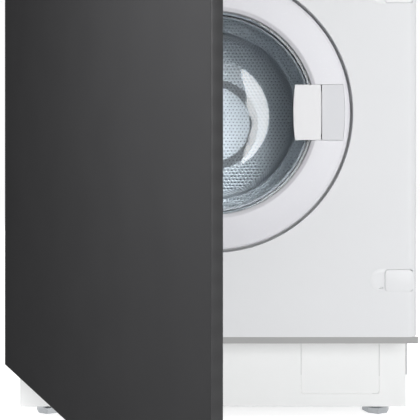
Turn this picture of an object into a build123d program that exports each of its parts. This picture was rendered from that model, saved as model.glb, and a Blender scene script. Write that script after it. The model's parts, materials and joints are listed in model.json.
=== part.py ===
from build123d import *
import os
from math import cos, radians, sin, sqrt

# Integrated front-loading washing machine behind a hinged furniture door.
# Millimetres. X to the right, Y into the machine from its white front, Z up from the floor.

# Cabinet
cabinet_width = 595.0
cabinet_height = 820.0
rear_face = 520.0
sheet = 1.2
seam = 0.3
edge_radius = 18.0
front_return = 40.0
front_bottom = 136.0
fascia_zone = 120.0
fold = 14.0
tray_bottom = 62.0
tray_rim = 22.0
tray_wall = 2.5

# Plinth zone under the white front
plinth_setback = 66.0
strip_height = 10.2
strip_setback = 4.0
kick_bottom = 14.0
kick_margin = 7.5

# Pump access behind the kick plate
pump_edge = 102.5

# Porthole and its pressed dish
porthole_height = 460.0
dish_radius = 202.3
dish_depth = 17.0
dish_inner_radius = 164.0

# Porthole door
door_radius = 198.0
door_opening_radius = 147.0
door_bevel = 9.0
door_edge = 4.0
door_front = -4.2
door_skirt = 8.0
door_wall = 2.6
glass_flange_radius = 166.0
glass_wall = 4.5
glass_seat = 6.3
bowl_radius = 132.0
bowl_depth = 96.0
inner_ring_rear = 13.6
inner_ring_radius = 187.0
inner_ring_wall = 3.0
hinge_pin_x = -190.0
hinge_pin_y = 2.8
hinge_pin_radius = 2.2
hinge_knuckle_radius = 4.0
knuckle_height = 27.0
hinge_notch_half = 34.0
running_gap = 0.05

# Door handle
handle_left = 115.7
handle_split = 156.0
handle_right = 189.3
handle_height = 79.5
handle_bow = 2.6
handle_front = -5.6
handle_pivot_x = 159.5
handle_pivot_y = 0.5
handle_pin_radius = 1.3
handle_barrel_radius = 2.8
hook_x = 181.0
hook_reach = 31.0

# Drum, tub and drive
drum_radius = 240.0
drum_wall = 1.2
drum_front = 76.0
drum_back = 340.0
drum_mouth_radius = 168.0
tub_radius = 262.0
tub_wall = 4.0
tub_front_face = 66.0
tub_back = 402.0
tub_mouth_radius = 172.0
shaft_radius = 15.0
pulley_radius = 135.0
pulley_front = 452.0
pulley_width = 20.0
motor_x = -95.0
motor_height = 148.0
motor_radius = 56.0
motor_front = 262.0
motor_back = 436.0
motor_pulley_radius = 12.0
belt_thickness = 3.5
belt_width = 14.0
body_gap = 0.3
large_facets = 44
tub_facets = 30
wheel_facets = 32
small_facets = 12
fine_facets = 8

# Furniture door, as wide as the machine and drawn at the angle of the photograph
panel_height = 718.0
panel_thickness = 10.0
panel_bottom = 98.0
panel_gap = 8.0
panel_angle = 60.0
cup_radius = 17.5
cup_depth = 7.5
cup_wall = 1.0
cup_edge_distance = 21.5
panel_pin_inset = 10.0
panel_pin_y = -11.0
panel_pin_radius = 1.6

# Hinge seats on the white front, one pair used and one pair capped
seat_width = 61.6
seat_height = 33.2
seat_edge = 8.5
seat_depth = 9.0
lower_seat = 217.8
seat_spacing = 416.0

# Control fascia
fascia_wall = 2.5
drawer_left = 95.0
drawer_edge = 18.5
drawer_zone = 108.0
drawer_top_gap = 18.0
knob_x = -8.0
knob_radius = 23.0
display_edge = 101.5
display_right = -66.0
button_drop = 92.0
control_drop = 52.0

os.makedirs("parts", exist_ok=True)

half_width = cabinet_width / 2
front_top = cabinet_height - fascia_zone
kick_width = cabinet_width - 2 * kick_margin
flap_x = half_width - pump_edge
panel_width = cabinet_width
panel_pin_x = panel_pin_inset - half_width
drawer_right = half_width - drawer_edge
drawer_bottom = cabinet_height - drawer_zone
drawer_top = cabinet_height - drawer_top_gap
display_left = display_edge - half_width
button_row = cabinet_height - button_drop
control_row = cabinet_height - control_drop
strip_bottom = front_bottom - strip_height
seat_heights = (lower_seat, lower_seat + seat_spacing)
seat_centre = half_width - seat_edge - seat_width / 2
fascia_bottom = front_top + seam
drum_axis = Axis((0, 0, porthole_height), (0, 1, 0))
turning_plane = Plane.XY.offset(porthole_height)


def facing(depth):
    """Plane seen from the room, at a depth behind the white front."""
    return Plane.XZ.offset(-depth)


def level(height):
    """Horizontal plane at a height above the floor."""
    return Plane.XY.offset(height)


def turned(*points):
    """Closed outline of radius and depth pairs, to be turned about the drum axis."""
    with BuildSketch(turning_plane) as outline:
        with BuildLine():
            Polyline(*points, close=True)
        make_face()
    return outline.sketch


def outline_on(plane, *points):
    """Closed polygon on a plane."""
    with BuildSketch(plane) as outline:
        with BuildLine():
            Polyline(*points, close=True)
        make_face()
    return outline.sketch


def cut_rectangle(width, height, corner, mode=Mode.ADD):
    """Rectangle with its corners cut at 45 degrees, placed like any sketch object."""
    x, y = width / 2, height / 2
    corners = [(x, y - corner), (x - corner, y), (corner - x, y), (-x, y - corner)]
    return Polygon(*corners, *[(-a, -b) for a, b in corners], align=None, mode=mode)


def box_on(plane, x_low, x_high, z_low, z_high):
    """Rectangle between two pairs of coordinates of an upright plane."""
    with BuildSketch(plane) as outline:
        with Locations(((x_low + x_high) / 2, (z_low + z_high) / 2)):
            Rectangle(x_high - x_low, z_high - z_low)
    return outline.sketch


def save(builder, name):
    """Label a finished piece and write it."""
    builder.part.label = name
    export_step(builder.part, f"parts/{name}.step")


# White front panel: one folded sheet with returns, the dish and four hinge seats
front_height = front_top - front_bottom
seat_corner = 5.0
seat_screw_radius = 2.2
seat_screw_offset = 22.0
hook_slot_width = 26.0
hook_slot_height = 26.0
hook_slot_x = 184.0
seat_places = [(side * seat_centre, height) for side in (-1, 1) for height in seat_heights]
used_seats = [(-seat_centre, height) for height in seat_heights]
capped_seats = [(seat_centre, height) for height in seat_heights]


with BuildPart() as front_panel:
    with BuildSketch(level(front_bottom)):
        with Locations((0, front_return / 2)):
            Rectangle(cabinet_width, front_return)
    extrude(amount=front_height)
    upright = front_panel.edges().filter_by(Axis.Z).group_by(Axis.Y)[0]
    fillet(upright, edge_radius)
    rear = front_panel.faces().sort_by(Axis.Y)[-1]
    offset(amount=-sheet, openings=rear)
    with BuildSketch(facing(0)):
        with Locations((0, porthole_height)):
            Circle(dish_radius)
    extrude(amount=-sheet, mode=Mode.SUBTRACT)
    with BuildSketch(facing(0)):
        with Locations((0, porthole_height)):
            RegularPolygon(dish_radius + sheet, large_facets, major_radius=False)
            Circle(dish_radius, mode=Mode.SUBTRACT)
    extrude(amount=-dish_depth - sheet)
    with BuildSketch(facing(dish_depth)):
        with Locations((0, porthole_height)):
            Circle(dish_radius)
            RegularPolygon(dish_inner_radius, large_facets, major_radius=False, mode=Mode.SUBTRACT)
    extrude(amount=-sheet)
    with BuildSketch(facing(dish_depth - sheet)):
        with Locations((hook_slot_x, porthole_height)):
            Rectangle(hook_slot_width, hook_slot_height)
    extrude(amount=-3 * sheet, mode=Mode.SUBTRACT)
    with BuildSketch(facing(0)):
        with Locations(*seat_places):
            cut_rectangle(seat_width, seat_height, seat_corner)
    extrude(amount=-seat_depth - sheet)
    with BuildSketch(facing(0)):
        with Locations(*seat_places):
            cut_rectangle(seat_width - 2 * sheet, seat_height - 2 * sheet, seat_corner - sheet)
    extrude(amount=-seat_depth, mode=Mode.SUBTRACT)
    with BuildSketch(facing(seat_depth)):
        with Locations(*seat_places):
            with Locations((-seat_screw_offset, 0), (seat_screw_offset, 0)):
                RegularPolygon(seat_screw_radius, 6)
    extrude(amount=-sheet, mode=Mode.SUBTRACT)
save(front_panel, "front_panel")

# Side panels: folded sheet with a notch at the plinth and two pressed stiffening fields
side_front = front_return + body_gap
side_top = cabinet_height - sheet - body_gap
side_rear = rear_face - sheet - body_gap
field_depth = 3.0
field_margin = 70.0
field_corner = 30.0


def side_outline(x):
    """Side view of a side panel, with the plinth notch at its lower front corner."""
    return outline_on(
        Plane.YZ.offset(x),
        (side_front, side_top),
        (side_front, strip_bottom),
        (plinth_setback, strip_bottom),
        (plinth_setback, tray_bottom),
        (side_rear, tray_bottom),
        (side_rear, side_top),
    )


for side, name in ((-1, "side_panel_left"), (1, "side_panel_right")):
    inner_x = side * (half_width - sheet)
    with BuildPart() as side_panel:
        extrude(side_outline(inner_x), amount=side * sheet)
        folds = [
            (side_front, side_rear, side_top - sheet, side_top),
            (side_rear - sheet, side_rear, tray_bottom, side_top - sheet),
        ]
        for y_low, y_high, z_low, z_high in folds:
            with BuildSketch(Plane.YZ.offset(inner_x)):
                with Locations(((y_low + y_high) / 2, (z_low + z_high) / 2)):
                    Rectangle(y_high - y_low, z_high - z_low)
            extrude(amount=-side * fold)
        field_length = side_rear - side_front - 2 * field_margin
        field_height = (side_top - strip_bottom - 3 * field_margin) / 2
        field_y = (side_front + side_rear) / 2
        field_z = [strip_bottom + field_margin + field_height / 2]
        field_z.append(field_z[0] + field_height + field_margin)
        with BuildSketch(Plane.YZ.offset(inner_x - side * field_depth)):
            with Locations(*[(field_y, z) for z in field_z]):
                cut_rectangle(field_length, field_height, field_corner)
        extrude(amount=side * (field_depth + sheet))
        with BuildSketch(Plane.YZ.offset(side * half_width)):
            with Locations(*[(field_y, z) for z in field_z]):
                cut_rectangle(
                    field_length - 2 * sheet, field_height - 2 * sheet, field_corner - sheet
                )
        extrude(amount=-side * field_depth, mode=Mode.SUBTRACT)
    save(side_panel, name)

# Rear panel with the access opening, the transport holes and the service holes
rear_plate_front = rear_face - sheet
access_width = 350.0
access_height = 500.0
access_centre = 372.0
access_corner = 60.0
transport_edge = 77.5
transport_spacing_x = cabinet_width - 2 * transport_edge
transport_spacing_z = 320.0
transport_hole_radius = 11.0
transport_centre = 500.0
inlet_x = 150.0
inlet_height = cabinet_height - 68.0
inlet_radius = 13.2
outlet_edge = 26.0
outlet_x = half_width - outlet_edge
outlet_height = 640.0
outlet_radius = 10.5
gland_edge = 57.5
gland_x = gland_edge - half_width
gland_height = cabinet_height - 60.0
gland_radius = 9.0
spigot_end = 534.0
service_clearance = 1.2

with BuildPart() as rear_panel:
    rear_plate_height = cabinet_height - sheet - body_gap - tray_bottom
    with BuildSketch(facing(rear_plate_front)):
        with Locations((0, tray_bottom + rear_plate_height / 2)):
            Rectangle(cabinet_width, rear_plate_height)
        with Locations((0, access_centre)):
            cut_rectangle(access_width, access_height, access_corner, mode=Mode.SUBTRACT)
        with Locations((0, transport_centre)):
            with GridLocations(transport_spacing_x, transport_spacing_z, 2, 2):
                Circle(transport_hole_radius, mode=Mode.SUBTRACT)
        for x, z, radius in (
            (inlet_x, inlet_height, inlet_radius),
            (outlet_x, outlet_height, outlet_radius),
            (gland_x, gland_height, gland_radius),
        ):
            with Locations((x, z)):
                RegularPolygon(
                    radius + service_clearance, small_facets, major_radius=False, mode=Mode.SUBTRACT
                )
    extrude(amount=-sheet)
save(rear_panel, "rear_panel")

# Access cover: shallow pressed lid over the drive opening
cover_overlap = 16.0
cover_bulge = 6.0
cover_slope = 40.0
cover_rim = 24.0

with BuildPart() as rear_access_cover:
    cover_plane = facing(rear_face + body_gap)
    cover_width = access_width + 2 * cover_overlap
    cover_height = access_height + 2 * cover_overlap
    with BuildSketch(cover_plane):
        with Locations((0, access_centre)):
            cut_rectangle(cover_width, cover_height, access_corner + cover_overlap)
    extrude(amount=-sheet)
    with BuildSketch(cover_plane):
        with Locations((0, access_centre)):
            cut_rectangle(access_width - cover_rim, access_height - cover_rim, access_corner)
    extrude(amount=-cover_bulge - sheet, taper=cover_slope)
    with BuildSketch(cover_plane):
        with Locations((0, access_centre)):
            cut_rectangle(
                access_width - cover_rim - 2 * sheet,
                access_height - cover_rim - 2 * sheet,
                access_corner - sheet,
            )
    extrude(amount=-cover_bulge, taper=cover_slope, mode=Mode.SUBTRACT)
save(rear_access_cover, "rear_access_cover")

# Top panel with a folded front edge and the holes for the worktop screws
top_front = 12.0
worktop_edge = 57.5
worktop_hole_x = half_width - worktop_edge
worktop_hole_y = 30.0
worktop_hole_radius = 2.6

with BuildPart() as top_panel:
    with BuildSketch(level(cabinet_height - sheet)):
        with Locations((0, (top_front + rear_face) / 2)):
            Rectangle(cabinet_width, rear_face - top_front)
        with Locations((-worktop_hole_x, worktop_hole_y), (worktop_hole_x, worktop_hole_y)):
            Circle(worktop_hole_radius, mode=Mode.SUBTRACT)
    extrude(amount=sheet)
    with BuildSketch(level(cabinet_height - sheet)):
        with Locations((0, top_front + sheet / 2)):
            Rectangle(cabinet_width - 2 * edge_radius, sheet)
    extrude(amount=-fold)
save(top_panel, "top_panel")

# Base tray: moulded floor with a rim, ribs, four foot sockets and the damper lugs
tray_half = half_width - sheet - body_gap
tray_front = plinth_setback + sheet + body_gap
tray_rear = side_rear - sheet - body_gap
tray_rib = 2.0
tray_rib_height = 12.0
pump_notch_half = 30.0
foot_edge = 42.5
foot_x = half_width - foot_edge
foot_front = 94.0
foot_rear = 486.0
foot_boss_radius = 13.0
foot_thread_radius = 5.0
foot_places = [(x, y) for x in (-foot_x, foot_x) for y in (foot_front, foot_rear)]
damper_depth = 245.0
damper_low = (half_width - 75.5, 92.0)
damper_high = (158.0, 222.0)
damper_eye_radius = 8.0
damper_eye_width = 16.0
lug_wall = 4.0
lug_half = damper_eye_width / 2 + body_gap

with BuildPart() as base_tray:
    with BuildSketch(level(tray_bottom)):
        with Locations((0, (tray_front + tray_rear) / 2)):
            Rectangle(2 * tray_half, tray_rear - tray_front)
    extrude(amount=tray_rim)
    offset(amount=-tray_wall, openings=base_tray.faces().sort_by(Axis.Z)[-1])
    tray_floor = tray_bottom + tray_wall
    with BuildSketch(level(tray_floor)):
        for x in (-tray_half / 2, 0, tray_half / 2):
            with Locations((x, (tray_front + tray_rear) / 2)):
                Rectangle(tray_rib, tray_rear - tray_front - tray_wall)
        with Locations((0, (tray_front + tray_rear) / 2)):
            Rectangle(2 * tray_half - tray_wall, tray_rib)
    extrude(amount=tray_rib_height)
    with BuildSketch(level(tray_bottom)):
        with Locations(*foot_places):
            Rectangle(2 * foot_boss_radius, 2 * foot_boss_radius)
    extrude(amount=tray_rim)
    with BuildSketch(level(tray_bottom)):
        with Locations(*foot_places):
            RegularPolygon(foot_thread_radius + body_gap, fine_facets)
    extrude(amount=tray_rim, mode=Mode.SUBTRACT)
    pump_notch = box_on(
        facing(tray_front),
        flap_x - pump_notch_half,
        flap_x + pump_notch_half,
        tray_floor,
        tray_bottom + tray_rim,
    )
    extrude(pump_notch, amount=-tray_wall, mode=Mode.SUBTRACT)
    for side in (-1, 1):
        for y in (damper_depth - lug_half - lug_wall, damper_depth + lug_half):
            with BuildSketch(facing(y)):
                with Locations((side * damper_low[0], damper_low[1])):
                    RegularPolygon(damper_eye_radius, small_facets)
                with Locations((side * damper_low[0], (damper_low[1] + tray_bottom) / 2)):
                    Rectangle(2 * damper_eye_radius, damper_low[1] - tray_bottom)
            extrude(amount=-lug_wall)
save(base_tray, "base_tray")

# Grey strip under the white front, running back as the lid of the plinth recess
strip_wall = 1.6
strip_top = front_bottom - body_gap

with BuildPart() as base_front_rail:
    extrude(
        outline_on(
            Plane.YZ.offset(-half_width),
            (strip_setback, strip_bottom),
            (side_front - body_gap, strip_bottom),
            (side_front - body_gap, strip_bottom + strip_wall),
            (strip_setback + strip_wall, strip_bottom + strip_wall),
            (strip_setback + strip_wall, strip_top),
            (strip_setback, strip_top),
        ),
        amount=cabinet_width,
    )
    with BuildSketch(level(strip_bottom)):
        with Locations((0, (strip_setback + plinth_setback + sheet) / 2)):
            Rectangle(2 * tray_half, plinth_setback + sheet - strip_setback)
    extrude(amount=strip_wall)
save(base_front_rail, "base_front_rail")

# Kick plate in the plinth recess, with the opening for the pump flap
flap_width = 120.0
flap_height = 84.0
flap_bottom = 34.0
flap_corner = 2.0
flap_gap = 0.3
kick_top = strip_bottom - body_gap
kick_fold = 16.0
kick_front = plinth_setback

with BuildPart() as kick_plate:
    with BuildSketch(level(kick_bottom)):
        with Locations((0, kick_front + sheet / 2)):
            Rectangle(kick_width, sheet)
        for side in (-1, 1):
            with Locations((side * (kick_width - sheet) / 2, kick_front + kick_fold / 2)):
                Rectangle(sheet, kick_fold)
    extrude(amount=tray_bottom - body_gap - kick_bottom)
    with BuildSketch(level(tray_bottom - body_gap)):
        with Locations((0, kick_front + sheet / 2)):
            Rectangle(kick_width, sheet)
    extrude(amount=kick_top - tray_bottom + body_gap)
    with BuildSketch(facing(kick_front)):
        with Locations((flap_x, flap_bottom + flap_height / 2)):
            cut_rectangle(flap_width, flap_height, flap_corner)
    extrude(amount=-sheet, mode=Mode.SUBTRACT)
save(kick_plate, "kick_plate")

# Levelling feet: pad, threaded stem and lock nut
pad_radius = 21.0
pad_height = 9.0
pad_neck_radius = 12.0
pad_neck = 6.0
nut_radius = 9.5
nut_height = 7.0

with BuildPart() as leveling_feet:
    with BuildSketch(level(0)):
        with Locations(*foot_places):
            RegularPolygon(pad_radius, fine_facets)
    extrude(amount=pad_height)
    with BuildSketch(level(pad_height)):
        with Locations(*foot_places):
            RegularPolygon(pad_neck_radius, 6)
    extrude(amount=pad_neck)
    with BuildSketch(level(pad_height)):
        with Locations(*foot_places):
            RegularPolygon(foot_thread_radius, fine_facets)
    extrude(amount=tray_bottom + tray_rim - pad_height)
    with BuildSketch(level(tray_bottom - body_gap - nut_height)):
        with Locations(*foot_places):
            RegularPolygon(nut_radius, 6)
    extrude(amount=nut_height)
save(leveling_feet, "leveling_feet")

# Crossbars under the top: folded channels that tie the sides and carry the springs
bar_width = 32.0
bar_height = 24.0
bar_wall = 1.6
spring_depth = 245.0
rear_bar_depth = 470.0
bar_top = side_top - sheet - body_gap
bar_bottom = bar_top - bar_height
bar_length = 2 * (half_width - sheet - body_gap)

with BuildPart() as top_crossbars:
    for y in (spring_depth, rear_bar_depth):
        extrude(
            outline_on(
                Plane.YZ.offset(-bar_length / 2),
                (y - bar_width / 2, bar_top),
                (y - bar_width / 2, bar_bottom),
                (y + bar_width / 2, bar_bottom),
                (y + bar_width / 2, bar_top),
                (y + bar_width / 2 - bar_wall, bar_top),
                (y + bar_width / 2 - bar_wall, bar_bottom + bar_wall),
                (y - bar_width / 2 + bar_wall, bar_bottom + bar_wall),
                (y - bar_width / 2 + bar_wall, bar_top),
            ),
            amount=bar_length,
        )
save(top_crossbars, "top_crossbars")

# Control fascia: moulded shell with rounded ends and its openings
fascia_depth = 38.0
fascia_height = cabinet_height - fascia_bottom
display_width = display_right - display_left
display_centre = (display_left + display_right) / 2
display_height = 44.0
display_recess = 1.6
drawer_width = drawer_right - drawer_left
drawer_height = drawer_top - drawer_bottom
drawer_centre = ((drawer_left + drawer_right) / 2, (drawer_bottom + drawer_top) / 2)
button_width = 26.0
button_height = 12.0
button_corner = 4.0
button_gap = 0.4
power_place = (61.5 - half_width, control_row)
start_place = (52.0, control_row)
option_places = [(display_centre - 44.0 + 44.0 * i, button_row) for i in range(3)]
main_button_size = 26.0
button_sizes = (
    ((power_place, start_place), main_button_size, main_button_size),
    (option_places, button_width, button_height),
)
knob_shaft_radius = 4.0
shaft_reach = 11.0
knob_hub_radius = 9.0

with BuildPart() as control_fascia:
    with BuildSketch(level(fascia_bottom)):
        with Locations((0, fascia_depth / 2)):
            Rectangle(cabinet_width, fascia_depth)
    extrude(amount=fascia_height)
    fillet(control_fascia.edges().filter_by(Axis.Z).group_by(Axis.Y)[0], edge_radius)
    offset(amount=-fascia_wall, openings=control_fascia.faces().sort_by(Axis.Y)[-1])
    with BuildSketch(level(cabinet_height)):
        with Locations((0, fascia_depth)):
            Rectangle(cabinet_width, 2 * (fascia_depth - top_front + body_gap))
    extrude(amount=-fold - fascia_wall, mode=Mode.SUBTRACT)
    with BuildSketch(facing(0)):
        with Locations((display_centre, control_row)):
            Rectangle(display_width, display_height)
    extrude(amount=-display_recess, mode=Mode.SUBTRACT)
    with BuildSketch(facing(0)):
        with Locations(drawer_centre):
            Rectangle(drawer_width, drawer_height)
        with Locations((knob_x, control_row)):
            RegularPolygon(knob_hub_radius + button_gap, 2 * small_facets, major_radius=False)
        for places, width, height in button_sizes:
            with Locations(*places):
                cut_rectangle(width + 2 * button_gap, height + 2 * button_gap, button_corner)
    extrude(amount=-fascia_wall, mode=Mode.SUBTRACT)
save(control_fascia, "control_fascia")

# Display window, a dark pane set flush in the fascia
with BuildPart() as display_window:
    with BuildSketch(facing(0)):
        with Locations((display_centre, control_row)):
            Rectangle(display_width - 2 * body_gap, display_height - 2 * body_gap)
    extrude(amount=-display_recess + body_gap)
save(display_window, "display_window")

# Control module behind the fascia, with a spring-loaded seat under each button
module_edge = 35.5
module_left = module_edge - half_width
module_right = 78.0
module_front = 9.0
module_rear = 34.0
module_low = fascia_bottom + fascia_wall + body_gap
module_high = cabinet_height - 30.0
button_travel = 2.0
button_front = -1.0
button_back = module_front - button_travel - body_gap

with BuildPart() as control_module:
    with BuildSketch(facing(module_front)):
        with Locations(((module_left + module_right) / 2, (module_low + module_high) / 2)):
            Rectangle(module_right - module_left, module_high - module_low)
    extrude(amount=module_front - module_rear)
    with BuildSketch(facing(module_front)):
        with Locations((knob_x, control_row)):
            RegularPolygon(knob_shaft_radius + running_gap, fine_facets, major_radius=False)
    extrude(amount=-shaft_reach, mode=Mode.SUBTRACT)
save(control_module, "control_module")

# Programme knob: low faceted dial with a dished face and a pointer rib
knob_proud = 5.2
knob_rim = 3.0
knob_facets = 20
knob_dish = 1.6
pointer_width = 2.4

with BuildPart() as program_knob:
    with BuildSketch(facing(-knob_proud)):
        with Locations((knob_x, control_row)):
            RegularPolygon(knob_radius, knob_facets)
    extrude(amount=-(knob_proud - body_gap))
    with BuildSketch(facing(-knob_proud)):
        with Locations((knob_x, control_row)):
            RegularPolygon(knob_radius - knob_rim, knob_facets)
    extrude(amount=-knob_dish, mode=Mode.SUBTRACT)
    with BuildSketch(facing(-knob_proud)):
        with Locations((knob_x, control_row + knob_radius / 2)):
            Rectangle(pointer_width, knob_radius - 2 * knob_rim)
    extrude(amount=-knob_proud / 2)
    with BuildSketch(facing(-body_gap)):
        with Locations((knob_x, control_row)):
            RegularPolygon(knob_hub_radius, knob_facets)
    extrude(amount=-(module_front - body_gap))
    with BuildSketch(facing(module_front - 2 * body_gap)):
        with Locations((knob_x, control_row)):
            Circle(knob_shaft_radius)
    extrude(amount=-shaft_reach)
save(program_knob, "program_knob")

# Push buttons, each guided by its own opening in the fascia
button_names = (
    ("power_button", power_place, main_button_size, main_button_size),
    ("start_button", start_place, main_button_size, main_button_size),
    ("temperature_button", option_places[0], button_width, button_height),
    ("spin_button", option_places[1], button_width, button_height),
    ("delay_button", option_places[2], button_width, button_height),
)
button_edge = 0.8

for name, place, width, height in button_names:
    with BuildPart() as button:
        with BuildSketch(facing(button_front)):
            with Locations(place):
                cut_rectangle(width, height, button_corner)
        extrude(amount=button_front - button_back)
        chamfer(button.edges().group_by(Axis.Y)[0], button_edge)
    save(button, name)

# Porthole door: moulded outer ring, an open channel with a bevel round the glass and an eased rim
ring_flat_inner = door_opening_radius + door_bevel
ring_back = door_front + door_wall
pocket_gap = 0.5
pocket_left = handle_left - pocket_gap
pocket_right = handle_right + pocket_gap
pocket_height = handle_height + 2 * pocket_gap
tail_height = 18.0
tail_channel = tail_height + 2.0
notch_right = -180.0
notch_width = 30.0
cut_reach = 30.0
ring_web_front = inner_ring_rear - inner_ring_wall
glass_back = glass_seat + glass_wall - body_gap
flat_bow = 0.01


# Outline of the handle's two halves, each bowed on its outer edge and all but straight on its inner
def handle_outline(plane, left, right, height, left_bow, right_bow):
    """Upright rectangle whose left and right edges bow outwards."""
    low = porthole_height - height / 2
    high = porthole_height + height / 2
    with BuildSketch(plane) as outline:
        with BuildLine():
            Line((left, low), (right, low))
            ThreePointArc((right, low), (right + right_bow, porthole_height), (right, high))
            Line((right, high), (left, high))
            ThreePointArc((left, high), (left - left_bow, porthole_height), (left, low))
        make_face()
    return outline.sketch


with BuildPart() as door_outer_ring:
    revolve(
        turned(
            (door_opening_radius, glass_seat - body_gap),
            (ring_flat_inner, door_front),
            (door_radius - door_edge, door_front),
            (door_radius, door_front + door_edge),
            (door_radius, door_skirt),
            (door_radius - 2 * door_edge, door_skirt),
            (door_radius - 2 * door_edge, glass_seat - body_gap),
        ),
        axis=drum_axis,
    )
    with BuildSketch(facing(ring_back)):
        with Locations((0, porthole_height)):
            RegularPolygon(door_radius - door_wall, large_facets)
            RegularPolygon(ring_flat_inner + door_wall, large_facets, mode=Mode.SUBTRACT)
    extrude(amount=-(door_skirt - ring_back), mode=Mode.SUBTRACT)
    pocket = handle_outline(
        facing(door_front),
        pocket_left + handle_bow,
        pocket_right - handle_bow,
        pocket_height,
        handle_bow,
        handle_bow,
    )
    extrude(pocket, amount=-(glass_seat - body_gap - door_front), mode=Mode.SUBTRACT)
    hinge_notch = box_on(
        facing(ring_back),
        notch_right - notch_width,
        notch_right,
        porthole_height - hinge_notch_half,
        porthole_height + hinge_notch_half,
    )
    extrude(hinge_notch, amount=-cut_reach, mode=Mode.SUBTRACT)
save(door_outer_ring, "door_outer_ring")

# Inner ring: the plate that clamps the glass from behind and closes the door
inner_ring_hole = door_opening_radius + 3.0
tail_slot_reach = 12.0

with BuildPart() as door_inner_ring:
    with BuildSketch(facing(ring_web_front)):
        with Locations((0, porthole_height)):
            RegularPolygon(inner_ring_radius, large_facets)
            RegularPolygon(inner_ring_hole, large_facets, mode=Mode.SUBTRACT)
    extrude(amount=-inner_ring_wall)
    tail_slot = box_on(
        facing(ring_web_front),
        hook_x - tail_slot_reach,
        inner_ring_radius + inner_ring_wall,
        porthole_height - tail_channel / 2,
        porthole_height + tail_channel / 2,
    )
    extrude(tail_slot, amount=-inner_ring_wall, mode=Mode.SUBTRACT)
    leaf_notch = box_on(
        facing(ring_web_front),
        notch_right - notch_width,
        notch_right,
        porthole_height - hinge_notch_half,
        porthole_height + hinge_notch_half,
    )
    extrude(leaf_notch, amount=-inner_ring_wall, mode=Mode.SUBTRACT)
save(door_inner_ring, "door_inner_ring")

# Glass bowl with its flange held between the two rings
with BuildPart() as door_glass:
    for y_low, y_high, radius in (
        (glass_seat, glass_back, glass_flange_radius),
        (glass_seat, bowl_depth, bowl_radius + glass_wall),
    ):
        with BuildSketch(facing(y_low)):
            with Locations((0, porthole_height)):
                RegularPolygon(radius, large_facets)
        extrude(amount=-(y_high - y_low))
    with BuildSketch(facing(glass_seat)):
        with Locations((0, porthole_height)):
            RegularPolygon(bowl_radius, large_facets)
    extrude(amount=-(bowl_depth - glass_wall - glass_seat), mode=Mode.SUBTRACT)
save(door_glass, "door_glass")

# Tub: moulded drum housing with its mouth, bearing hub and the lugs it hangs and stands by
hub_radius = 46.0
hub_end = 440.0
hub_front = 376.0
spring_x = half_width - 92.5
tub_lug_width = 24.0
spring_lug_top = 668.0
motor_lug_depths = (300.0, 400.0)
motor_lug_width = 46.0
motor_lug_wall = 10.0
housing_wall = 2.0
housing_gap = 1.0
housing_low = drawer_bottom - housing_wall
boot_x = 120.0
boot_y = 170.0
boot_radius = 20.0
sump_y = 115.0
sump_radius = 17.0
stub_wall = 3.0
sump_end = 206.0

heater_tube = 3.5
heater_half_width = 34.0
heater_radius = 249.0
heater_start = tub_front_face - 12.0
heater_end = 300.0
heater_flange = 18.0
heater_fold = 16.0
heater_height = porthole_height - sqrt(heater_radius**2 - heater_half_width**2)


def tub_surface(x):
    """Height above or below the drum axis at which the tub's outside passes x."""
    return sqrt(tub_radius**2 - x**2)


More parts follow.
